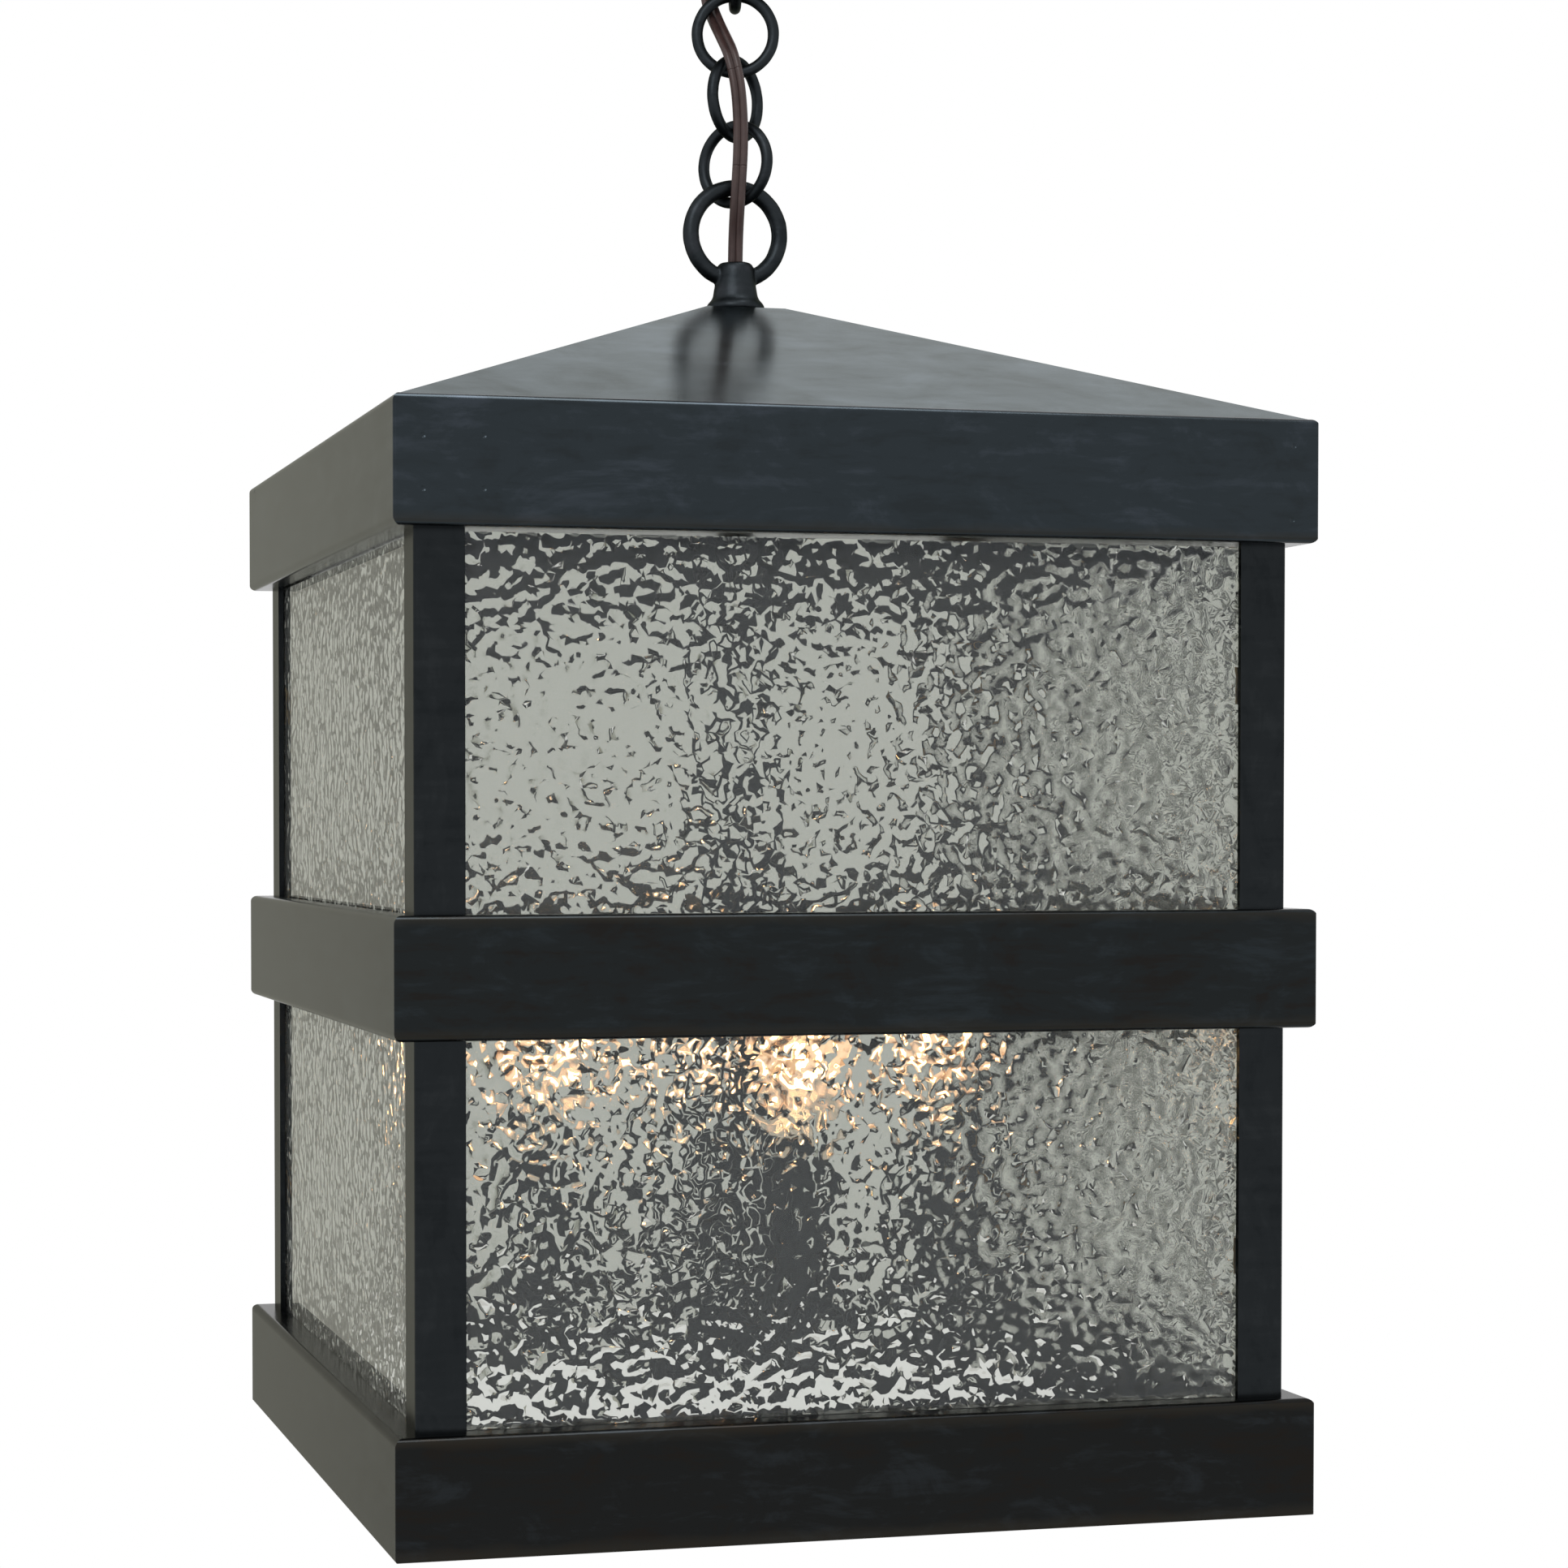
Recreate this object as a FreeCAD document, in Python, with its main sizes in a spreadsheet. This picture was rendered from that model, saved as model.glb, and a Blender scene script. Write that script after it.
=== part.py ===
import FreeCAD, Part
import Sketcher
import math
import os
from FreeCAD import Placement, Rotation, Vector

# Square porch lantern in dark bronze with pebbled panes and four candle lamps. It hangs by
# round links from a ceiling canopy. The origin is the centre of the canopy's ceiling plane.
SIZES = {
    # Ceiling fitting
    "crossbar_length": 104,
    "crossbar_width": 20,
    "crossbar_sheet": 2.5,
    "slot_spacing": 79.4,
    "slot_length": 14.5,
    "slot_width": 4.8,
    "ground_offset": 20,
    "screw_diameter": 4,
    "screw_head": 8,
    "screw_head_height": 2.6,
    "canopy_diameter": 127,
    "canopy_depth": 24,
    "canopy_sheet": 1.2,
    "canopy_bend": 7,
    "shank_diameter": 18,
    "shank_inside": 8,
    "collar_diameter": 29,
    "collar_height": 6,
    "collar_round": 1.5,
    "collar_spare": 1,
    # Threaded pipe and its nuts
    "pipe_diameter": 10,
    "pipe_bore": 6.8,
    "pipe_seat": 10,
    "thread_play": 0.05,
    "nut_flats": 14.3,
    "nut_height": 4.5,
    # Cast loops and round links
    "loop_radius": 16.4,
    "loop_wire": 5.8,
    "hub_reach": 10.3,
    "hub_height": 17.5,
    "hub_neck": 16,
    "hub_tip": 13.2,
    "hub_tip_round": 1.6,
    "hub_taper": 6,
    "hub_bead": 5,
    "cord_hole": 6,
    "link_radius": 13.55,
    "link_wire": 3.8,
    "link_play": 0.3,
    "link_1_turn": -50.4,
    "link_2_turn": 37.8,
    "link_3_turn": -13.9,
    "link_4_turn": 76,
    # Flat twin lamp cord
    "cord_width": 5.4,
    "cord_thickness": 2.8,
    # Folded bands and roof
    "body_width": 305,
    "body_height": 357,
    "cap_height": 40.2,
    "middle_height": 38.7,
    "middle_drop": 158.9,
    "base_height": 38.1,
    "band_sheet": 1.2,
    "band_bend": 2.5,
    "band_mitre": 1,
    "base_lip": 0.8,
    "band_proud": 7.75,
    "band_flange": 22,
    "roof_rise": 51,
    "roof_inset": 2.6,
    "roof_flat": 28.4,
    "roof_sheet": 1.3,
    # Corner posts, panes and clips
    "post_leg": 16,
    "post_sheet": 2,
    "post_round": 1.5,
    "pane_thickness": 3,
    "pane_play": 0.3,
    "pane_corner": 1.2,
    "pane_top_play": 0.8,
    "clip_wing": 10,
    "clip_sheet": 0.8,
    "clip_play": 0.4,
    "clip_height": 12,
    "clip_inset": 40,
    # Stem and candle cluster
    "stem_diameter": 13,
    "stem_wall": 1.2,
    "cluster_diameter": 46,
    "cluster_wall": 2,
    "cluster_foot": 36,
    "cluster_height": 24,
    "cluster_round": 4,
    "cap_plate": 2.5,
    "knob_neck": 8,
    "knob_diameter": 13,
    "candle_reach": 72,
    "arm_height": 11,
    "arm_diameter": 9.5,
    "arm_wall": 1,
    "arm_bend": 13,
    "arm_spigot": 7,
    "pan_diameter": 34,
    "pan_sheet": 1.2,
    "pan_depth": 4,
    "seat_play": 0.1,
    # Candles and lamps
    "holder_diameter": 19,
    "holder_length": 56,
    "holder_mouth": 12.6,
    "holder_depth": 24,
    "sleeve_diameter": 22,
    "sleeve_wall": 1.2,
    "sleeve_length": 57,
    "lamp_base_diameter": 12,
    "lamp_base_wall": 0.5,
    "lamp_base_floor": 4,
    "lamp_tip_diameter": 6,
    "lamp_rest": 0.2,
    "lamp_neck_sink": 4,
    "lamp_glass_wall": 0.8,
    "lamp_length": 64,
    "lamp_diameter": 32,
    "lamp_belly": 21,
    "lamp_point": 3,
    "filament_span": 6,
    "filament_wire": 0.8,
    "filament_height": 54,
}

doc = FreeCAD.newDocument("porch_lantern")
sheet = doc.addObject("Spreadsheet::Sheet", "dim")
for row, (name, size) in enumerate(SIZES.items(), 1):
    sheet.set(f"A{row}", name)
    sheet.set(f"B{row}", str(size))
    sheet.setAlias(f"B{row}", name)
doc.recompute()

UP = Vector(0, 0, 1)
nodes = []


# Drawing helpers

def value(expression):
    """The number that an expression of sheet sizes gives."""
    return float(sheet.evalExpression(str(expression)))


def new_body(label):
    body = doc.addObject("PartDesign::Body", label)
    body.Label = label
    return body


def sketch_on(body, role, name, lift=None):
    """An empty sketch on one of the body's own origin planes, lifted along the plane's normal."""
    sketch = body.newObject("Sketcher::SketchObject", f"{body.Name}_{name}")
    plane = next(item for item in body.Origin.OriginFeatures if item.Role == role)
    sketch.AttachmentSupport = [(plane, "")]
    sketch.MapMode = "FlatFace"
    if lift:
        sketch.setExpression("AttachmentOffset.Base.z", lift)
    return sketch


def pin(sketch, index, point, across, up):
    """Hold a point of the sketch at two sizes from the sketch's origin."""
    for kind, axis, expression in (("DistanceX", -2, across), ("DistanceY", -1, up)):
        if expression == "0":
            sketch.addConstraint(Sketcher.Constraint("PointOnObject", index, point, axis))
            continue
        number = sketch.addConstraint(
            Sketcher.Constraint(kind, -1, 1, index, point, value(expression)))
        sketch.setExpression(f"Constraints[{number}]", expression)


def edge_between(sketch, start, corner):
    """Draw the edge that arrives at a corner; returns its index and its first and last points."""
    end = Vector(value(corner[0]), value(corner[1]), 0)
    if len(corner) == 2:
        return sketch.addGeometry(Part.LineSegment(start, end), False), 1, 2
    radius = value(corner[2])
    half = (end - start) * 0.5
    rise = math.sqrt(max(radius ** 2 - half.Length ** 2, 0))
    left = Vector(-half.y, half.x, 0).normalize()
    turns_left = corner[3] == "left"
    centre = start + half + left * (rise if turns_left else -rise)
    first, last = (start, end) if turns_left else (end, start)
    angles = [math.atan2(p.y - centre.y, p.x - centre.x) for p in (first, last)]
    arc = Part.ArcOfCircle(Part.Circle(centre, UP, radius), *angles)
    index = sketch.addGeometry(arc, False)
    number = sketch.addConstraint(Sketcher.Constraint("Radius", index, radius))
    sketch.setExpression(f"Constraints[{number}]", corner[2])
    return (index, 1, 2) if turns_left else (index, 2, 1)


def outline(sketch, corners, closed=True):
    """Edges through corners (across, up) or, for an arc, (across, up, radius, turn)."""
    places = [Vector(value(corner[0]), value(corner[1]), 0) for corner in corners]
    edges = [edge_between(sketch, places[i - 1], corner)
             for i, corner in enumerate(corners) if closed or i]
    arrivals = corners if closed else corners[1:]
    for (index, first, last), corner in zip(edges, arrivals):
        pin(sketch, index, last, corner[0], corner[1])
    links = list(zip(edges, edges[1:]))
    if closed:
        links.append((edges[-1], edges[0]))
    else:
        pin(sketch, edges[0][0], edges[0][1], corners[0][0], corners[0][1])
    for before, after in links:
        sketch.addConstraint(
            Sketcher.Constraint("Coincident", before[0], before[2], after[0], after[1]))


def circle(sketch, across, up, radius):
    centre = Vector(value(across), value(up), 0)
    index = sketch.addGeometry(Part.Circle(centre, UP, value(radius)), False)
    pin(sketch, index, 3, across, up)
    number = sketch.addConstraint(Sketcher.Constraint("Radius", index, value(radius)))
    sketch.setExpression(f"Constraints[{number}]", radius)


def revolve(body, kind, sketch):
    feature = body.newObject(f"PartDesign::{kind}", f"{sketch.Name}_turn")
    feature.Profile = sketch
    feature.ReferenceAxis = (sketch, ["V_Axis"])
    feature.Angle = 360


def turned(label, corners):
    """A piece turned about its upright axis from a half profile of (radius, height)."""
    body = new_body(label)
    sketch = sketch_on(body, "XZ_Plane", "profile")
    outline(sketch, corners)
    revolve(body, "Revolution", sketch)
    return body


def bored(body, corners):
    """Cut a turned recess about the body's upright axis."""
    sketch = sketch_on(body, "XZ_Plane", "bore")
    outline(sketch, corners)
    revolve(body, "Groove", sketch)


def padded(body, sketch, length):
    pad = body.newObject("PartDesign::Pad", f"{sketch.Name}_pad")
    pad.Profile = sketch
    pad.setExpression("Length", length)


def place(part, level, turn=0, flipped=False, across="0", along="0"):
    """Stand a piece at a level, turned about the upright axis, or upside down."""
    rotation = Rotation(UP, turn)
    if flipped:
        rotation = rotation.multiply(Rotation(Vector(1, 0, 0), 180))
    base = Vector(value(across), value(along), value(level))
    part.Placement = Placement(base, rotation)
    for axis, expression in (("x", across), ("y", along), ("z", level)):
        if expression != "0":
            part.setExpression(f"Placement.Base.{axis}", expression)


def keep(part, label=None):
    """Count a piece as one node of the lantern."""
    if label:
        part.Label = label
    nodes.append(part)
    return part


def group(label, shape):
    """Several like solids as one node."""
    part = doc.addObject("Part::Feature", label)
    part.Shape = shape
    return keep(part, label)


# Levels, from the ceiling plane down
canopy_face = "-dim.canopy_depth"
ceiling_tip = f"({canopy_face} - dim.collar_height - dim.collar_spare - dim.hub_taper)"
ceiling_ring = f"({ceiling_tip} - dim.hub_reach)"
loop_step = "(dim.loop_wire / 2 + dim.link_wire / 2 + dim.link_play)"
link_pitch = "(2 * dim.link_radius - dim.link_wire - dim.link_play)"
link_4 = f"({ceiling_ring} - dim.loop_radius + {loop_step} - dim.link_radius)"
link_levels = {4: link_4}
for number in (3, 2, 1):
    link_levels[number] = f"({link_4} - {4 - number} * {link_pitch})"
lantern_ring = f"({link_levels[1]} - dim.link_radius + {loop_step} - dim.loop_radius)"
lantern_tip = f"({lantern_ring} - dim.hub_reach)"
roof_top = f"({lantern_tip} - dim.hub_height)"
eave = f"({roof_top} - dim.roof_rise)"
cap_foot = f"({eave} - dim.cap_height)"
middle_top = f"({eave} - dim.middle_drop)"
base_foot = f"({eave} - dim.body_height)"
base_top = f"({base_foot} + dim.base_height)"
half_width = "(dim.body_width / 2)"
post_face = f"({half_width} - dim.band_proud)"
post_inside = f"({post_face} - dim.post_sheet)"
post_length = "(dim.body_height - dim.cap_height - dim.base_height)"
pane_outside = f"({post_inside} - dim.pane_play)"
pane_inside = f"({pane_outside} - dim.pane_thickness)"
pane_half = f"({pane_inside} - dim.pane_corner)"
pipe_radius = "(dim.pipe_diameter / 2)"
thread_radius = f"({pipe_radius} + dim.thread_play)"


# Ceiling crossbar: a flat steel bar with two screw slots, a tapped centre and a ground screw

def stadium(sketch, centre, length, width):
    """A straight slot or bar with round ends, lying along the sketch's first axis."""
    reach = f"({length} - {width}) / 2"
    radius = f"{width} / 2"
    outline(sketch, [(f"{centre} + {reach}", f"-{radius}"),
                     (f"{centre} + {reach} + {radius}", "0", radius, "left"),
                     (f"{centre} + {reach}", radius, radius, "left"),
                     (f"{centre} - {reach}", radius),
                     (f"{centre} - {reach} - {radius}", "0", radius, "left"),
                     (f"{centre} - {reach}", f"-{radius}", radius, "left")])


crossbar = new_body("ceiling_crossbar")
bar_sketch = sketch_on(crossbar, "XY_Plane", "plan")
stadium(bar_sketch, "0", "dim.crossbar_length", "dim.crossbar_width")
stadium(bar_sketch, "dim.slot_spacing / 2", "dim.slot_length", "dim.slot_width")
stadium(bar_sketch, "-dim.slot_spacing / 2", "dim.slot_length", "dim.slot_width")
circle(bar_sketch, "0", "0", thread_radius)
circle(bar_sketch, "dim.ground_offset", "0", "dim.screw_diameter / 2 + dim.thread_play")
padded(crossbar, bar_sketch, "dim.crossbar_sheet")
place(crossbar, "-dim.crossbar_sheet")
keep(crossbar)

screw_shank = "dim.screw_diameter / 2"
screw_rim = "dim.screw_head / 2"
ground_screw = turned("ground_screw", [("0", "-dim.screw_head_height"),
                                       (screw_rim, "-dim.screw_head_height"),
                                       (screw_rim, "0"),
                                       (screw_shank, "0"),
                                       (screw_shank, "dim.crossbar_sheet"),
                                       ("0", "dim.crossbar_sheet")])
place(ground_screw, "-dim.crossbar_sheet", across="dim.ground_offset")
keep(ground_screw)


# Threaded pipes and hexagon nuts

def pipe(label, length):
    """A plain length of threaded pipe standing on its lower end."""
    bore = "dim.pipe_bore / 2"
    return turned(label, [(bore, "0"), (pipe_radius, "0"), (pipe_radius, length), (bore, length)])


def hexagon_nut(label):
    body = new_body(label)
    sketch = sketch_on(body, "XY_Plane", "plan")
    corner = "dim.nut_flats / sqrt(3)"
    flat = "dim.nut_flats / 2"
    outline(sketch, [(corner, "0"), (f"{corner} / 2", flat), (f"-{corner} / 2", flat),
                     (f"-{corner}", "0"), (f"-{corner} / 2", f"-{flat}"),
                     (f"{corner} / 2", f"-{flat}")])
    circle(sketch, "0", "0", thread_radius)
    padded(body, sketch, "dim.nut_height")
    return body


shank_top = f"({canopy_face} + dim.canopy_sheet + dim.shank_inside)"
nipple_foot = f"({shank_top} - dim.pipe_seat)"
canopy_nipple = pipe("canopy_nipple", f"-{nipple_foot}")
place(canopy_nipple, nipple_foot)
keep(canopy_nipple)

crossbar_nut = hexagon_nut("crossbar_nut")
place(crossbar_nut, "-dim.crossbar_sheet - dim.nut_height")
keep(crossbar_nut)

# Canopy: a spun dish whose rim meets the ceiling, held up by a screw collar
shank_radius = "dim.shank_diameter / 2"
shank_hole = f"({shank_radius} + dim.seat_play)"
canopy_rim = "dim.canopy_diameter / 2"
canopy_wall = f"({canopy_rim} - dim.canopy_sheet)"
bend_foot = f"({canopy_face} + dim.canopy_bend)"
canopy_floor = f"({canopy_face} + dim.canopy_sheet)"
bend_start = f"({canopy_rim} - dim.canopy_bend)"
ceiling_canopy = turned("ceiling_canopy", [
    (shank_hole, canopy_face),
    (bend_start, canopy_face),
    (canopy_rim, bend_foot, "dim.canopy_bend", "left"),
    (canopy_rim, "0"),
    (canopy_wall, "0"),
    (canopy_wall, bend_foot),
    (bend_start, canopy_floor, "dim.canopy_bend - dim.canopy_sheet", "right"),
    (shank_hole, canopy_floor)])
keep(ceiling_canopy)

collar_rim = "dim.collar_diameter / 2"
collar_in = f"{collar_rim} - dim.collar_round"
canopy_collar = turned("canopy_collar", [
    (f"{shank_radius} + dim.thread_play", "0"),
    (collar_in, "0"),
    (collar_rim, "dim.collar_round", "dim.collar_round", "left"),
    (collar_rim, "dim.collar_height - dim.collar_round"),
    (collar_in, "dim.collar_height", "dim.collar_round", "left"),
    (f"{shank_radius} + dim.thread_play", "dim.collar_height")])
place(canopy_collar, f"{canopy_face} - dim.collar_height")
keep(canopy_collar)


# Cast loops: a ring on a hub bored for the pipe from below and for the cord from the tip

def ring_about(body, radius, wire):
    """A round wire ring about the body's origin, standing in its XZ plane."""
    sketch = sketch_on(body, "XY_Plane", "wire")
    circle(sketch, radius, "0", f"{wire} / 2")
    revolve(body, "Revolution", sketch)


def cast_loop(label, foot, shoulder):
    """Ring about the origin with its hub below; shoulder is the hub's profile up to its taper."""
    tip = "-dim.hub_reach"
    tip_radius = "dim.hub_tip / 2"
    body = turned(label, shoulder + [
        (tip_radius, f"{tip} - dim.hub_tip_round"),
        (f"{tip_radius} - dim.hub_tip_round", tip, "dim.hub_tip_round", "left"),
        ("0", tip),
        ("0", foot)])
    ring_about(body, "dim.loop_radius", "dim.loop_wire")
    cord_radius = "dim.cord_hole / 2"
    seat = f"{foot} + dim.pipe_seat"
    bored(body, [("0", foot), (thread_radius, foot), (thread_radius, seat), (cord_radius, seat),
                 (cord_radius, tip), ("0", tip)])
    return body


shank_end = "(-dim.hub_reach - dim.hub_taper)"
shank_foot = f"({shank_end} - dim.collar_spare - dim.collar_height - dim.canopy_sheet - dim.shank_inside)"
ceiling_loop = cast_loop("ceiling_loop", shank_foot, [(shank_radius, shank_foot),
                                                      (shank_radius, shank_end)])
place(ceiling_loop, ceiling_ring, flipped=True)
keep(ceiling_loop)

# Chain: plain round links, each hung through the one above
for number in (4, 3, 2, 1):
    link = new_body(f"chain_link_{number}")
    ring_about(link, "dim.link_radius", "dim.link_wire")
    place(link, link_levels[number], value(f"dim.link_{number}_turn"))
    keep(link)

hub_foot = "(-dim.hub_reach - dim.hub_height)"
bead_top = f"({hub_foot} + dim.hub_bead)"
neck_radius = "dim.hub_neck / 2"
lantern_loop = cast_loop("lantern_loop", hub_foot, [
    (neck_radius, hub_foot),
    (f"{neck_radius} + dim.hub_bead / 2", f"{hub_foot} + dim.hub_bead / 2", "dim.hub_bead / 2", "left"),
    (neck_radius, bead_top, "dim.hub_bead / 2", "left")])
place(lantern_loop, lantern_ring)
keep(lantern_loop)


# Lamp cord: flat and twin, out of the lantern's hub, threaded up the chain into the ceiling loop

# Points along the cord, in millimetres from the upright axis and above the lantern hub's tip
CORD_ROUTE = [
    (0, 0, 0), (-0.3, -1.7, 9.5), (-1.0, -6.1, 19.5), (-0.9, -7.9, 28.5), (-0.6, -8.8, 38),
    (-0.8, -9.7, 48.5), (-2.1, -10.8, 61), (-4.1, -9.3, 72), (-5.4, -2.6, 79.9),
    (-6.2, 4.1, 86.7), (-7.6, 9.0, 94.8), (-8.0, 10.4, 105.8), (-6.6, 8.2, 117.5),
    (-2.5, 3.1, 129), (0, 0, 139.3)]
# Runs of the route in whose middle one stretch ends and the next begins
CORD_BREAKS = (3, 6, 10)
# Turn of the cord's broad face about the upright axis, and the share of a run that each bend takes
CORD_FACE_TURN = -13.9
CORD_BEND_SHARE = 0.45


def cord_bend(before, corner, after):
    """Where the largest arc that two runs allow starts, passes and ends at their corner."""
    back = (before - corner).normalize()
    ahead = (after - corner).normalize()
    tangent = CORD_BEND_SHARE * min((before - corner).Length, (after - corner).Length)
    half_turn = (math.pi - back.getAngle(ahead)) / 2
    radius = tangent / math.tan(half_turn)
    print(f"cord bend radius {radius:.1f} mm, turn {math.degrees(2 * half_turn):.1f} degrees")
    inward = (back + ahead).normalize()
    middle = corner + inward * (radius / math.cos(half_turn) - radius)
    return corner + back * tangent, middle, corner + ahead * tangent


def cord_wire(start, bends, finish):
    """Straight runs and the arcs between them, from one end of a stretch to the other."""
    edges = []
    for enter, middle, leave in bends:
        edges.append(Part.LineSegment(start, enter).toShape())
        edges.append(Part.Arc(enter, middle, leave).toShape())
        start = leave
    edges.append(Part.LineSegment(start, finish).toShape())
    return Part.Wire(edges)


def cord_section(centre, heading):
    """The flat cord's round-ended section, square to its heading."""
    broad = Rotation(UP, CORD_FACE_TURN).multVec(Vector(1, 0, 0))
    broad = (broad - heading * broad.dot(heading)).normalize()
    thin = heading.cross(broad)
    radius = value("dim.cord_thickness / 2")
    side = broad * (value("dim.cord_width / 2") - radius)
    corners = [centre - side - thin * radius, centre + side - thin * radius,
               centre + side + thin * radius, centre - side + thin * radius]
    right = Part.Arc(corners[1], centre + side + broad * radius, corners[2])
    left = Part.Arc(corners[3], centre - side - broad * radius, corners[0])
    return Part.Wire([Part.LineSegment(corners[0], corners[1]).toShape(), right.toShape(),
                      Part.LineSegment(corners[2], corners[3]).toShape(), left.toShape()])


def cord_stretch(label, start, bends, finish):
    wire = cord_wire(start, bends, finish)
    section = cord_section(start, (bends[0][0] - start).normalize())
    sweep = Part.BRepOffsetAPI.MakePipeShell(wire)
    sweep.add(section)
    sweep.build()
    sweep.makeSolid()
    solid = sweep.shape()
    print(f"{label} length {wire.Length:.1f} mm, volume {solid.Volume:.1f}"
          f" against {Part.Face(section).Area * wire.Length:.1f} mm3")
    return group(label, solid)


# The route stretches with the chain, so that it ends at both hubs' tips
hub_level = value(lantern_tip)
stretch = (value(ceiling_tip) - hub_level) / CORD_ROUTE[-1][2]
route = [Vector(across, along, hub_level + up * stretch) for across, along, up in CORD_ROUTE]
bends = [cord_bend(*corner) for corner in zip(route, route[1:], route[2:])]
breaks = [(route[run] + route[run + 1]) * 0.5 for run in CORD_BREAKS]
ends = [route[0]] + breaks + [route[-1]]
counts = (0,) + CORD_BREAKS + (len(bends),)
for number in range(1, len(ends)):
    stretch_bends = bends[counts[number - 1]:counts[number]]
    cord_stretch(f"lamp_cord_{number}", ends[number - 1], stretch_bends, ends[number])


# Bands: sheet folded into a channel, mitred round the lantern, with flanges turned inwards

def block(name, half, height, foot):
    """A square block about the upright axis."""
    box = doc.addObject("Part::Box", name)
    for side in ("Length", "Width"):
        box.setExpression(side, f"2 * ({half})")
    for axis in ("x", "y"):
        box.setExpression(f"Placement.Base.{axis}", f"-({half})")
    box.setExpression("Placement.Base.z", foot)
    box.setExpression("Height", height)
    return box


def softened(box, upper, lower):
    """Round a block's upper and lower edges, which meet in mitres at the corners."""
    doc.recompute()
    middle = box.Shape.BoundBox.Center.z
    rounds = []
    for number, edge in enumerate(box.Shape.Edges, 1):
        low, high = sorted(vertex.Z for vertex in edge.Vertexes)
        if high - low < 1e-6:
            radius = upper if low > middle else lower
            rounds.append((number, radius, radius))
    fillet = doc.addObject("Part::Fillet", f"{box.Name}_soft")
    fillet.Base = box
    fillet.Edges = rounds
    return fillet


def pillar(name, half, height, foot, radius):
    """A square block whose four upright edges are rounded."""
    box = block(name, half, height, foot)
    doc.recompute()
    rounds = []
    for number, edge in enumerate(box.Shape.Edges, 1):
        low, high = sorted(vertex.Z for vertex in edge.Vertexes)
        if high - low > 1e-6:
            rounds.append((number, radius, radius))
    fillet = doc.addObject("Part::Fillet", f"{name}_soft")
    fillet.Base = box
    fillet.Edges = rounds
    return fillet


def cut(label, base, tool):
    feature = doc.addObject("Part::Cut", label)
    feature.Base = base
    feature.Tool = tool
    return feature


def folded_band(label, foot, height, flange, lower):
    sheet_gauge = "dim.band_sheet"
    bend = value("dim.band_bend")
    mitre = value("dim.band_mitre")
    inner_bend = value("dim.band_bend - dim.band_sheet")
    folded = softened(block(f"{label}_folded", half_width, height, foot), bend, lower)
    mitred = pillar(f"{label}_mitred", half_width, height, foot, mitre)
    outside = doc.addObject("Part::Common", f"{label}_outside")
    outside.Base = folded
    outside.Tool = mitred
    hollow = softened(block(f"{label}_hollow", f"{half_width} - {sheet_gauge}",
                            f"{height} - 2 * {sheet_gauge}", f"{foot} + {sheet_gauge}"),
                      inner_bend, min(inner_bend, lower))
    mouth = block(f"{label}_mouth", f"{half_width} - {flange}", f"{height} * 2",
                  f"{foot} - {height} / 2")
    channel = cut(f"{label}_channel", outside, hollow)
    return keep(cut(label, channel, mouth))


# Roof: a four-sided pyramid of sheet with a small flat top, on the cap band's upper flange
roof_foot = f"({half_width} - dim.roof_inset)"
flat_half = "dim.roof_flat / 2"
roof_run = f"({roof_foot} - {flat_half})"
# Height that the sheet takes up, measured straight down through the slope
roof_drop = f"(dim.roof_sheet * sqrt(1 + (dim.roof_rise / {roof_run}) ^ 2))"


def square(sketch, half):
    outline(sketch, [(half, f"-({half})"), (half, half), (f"-({half})", half),
                     (f"-({half})", f"-({half})")])


def loft(body, kind, lower_half, upper_half, top):
    lower = sketch_on(body, "XY_Plane", f"{kind}_foot")
    square(lower, lower_half)
    upper = sketch_on(body, "XY_Plane", f"{kind}_flat", top)
    square(upper, upper_half)
    feature = body.newObject(f"PartDesign::{kind}", f"{body.Name}_{kind}")
    feature.Profile = lower
    feature.Sections = [upper]
    feature.Ruled = True


roof = new_body("roof_pyramid")
loft(roof, "AdditiveLoft", roof_foot, flat_half, "dim.roof_rise")
loft(roof, "SubtractiveLoft", f"{roof_foot} - {roof_drop} * {roof_run} / dim.roof_rise", flat_half,
     f"dim.roof_rise - {roof_drop}")
bored(roof, [("0", "dim.roof_rise / 2"), (thread_radius, "dim.roof_rise / 2"),
             (thread_radius, "dim.roof_rise"), ("0", "dim.roof_rise")])
place(roof, eave)
keep(roof)

band_bend = value("dim.band_bend")
folded_band("cap_band", cap_foot, "dim.cap_height", "dim.band_flange", band_bend)
folded_band("middle_band", f"{middle_top} - dim.middle_height", "dim.middle_height",
            "dim.band_proud", band_bend)
folded_band("base_band", base_foot, "dim.base_height", "dim.band_flange", value("dim.base_lip"))

# Corner posts: folded angle standing between the base and cap flanges
CORNERS = ("front_left", "front_right", "back_right", "back_left")
post_inner = f"-{post_inside}"
post_edge = f"(-{post_face} + dim.post_leg)"
post_soft = f"(-{post_face} + dim.post_round)"
for number, corner in enumerate(CORNERS):
    post = new_body(f"corner_post_{corner}")
    post_sketch = sketch_on(post, "XY_Plane", "angle")
    outline(post_sketch, [(post_soft, f"-{post_face}", "dim.post_round", "left"),
                          (post_edge, f"-{post_face}"), (post_edge, post_inner),
                          (post_inner, post_inner), (post_inner, post_edge),
                          (f"-{post_face}", post_edge), (f"-{post_face}", post_soft)])
    padded(post, post_sketch, post_length)
    place(post, base_top, 90 * number)
    keep(post)

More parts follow.
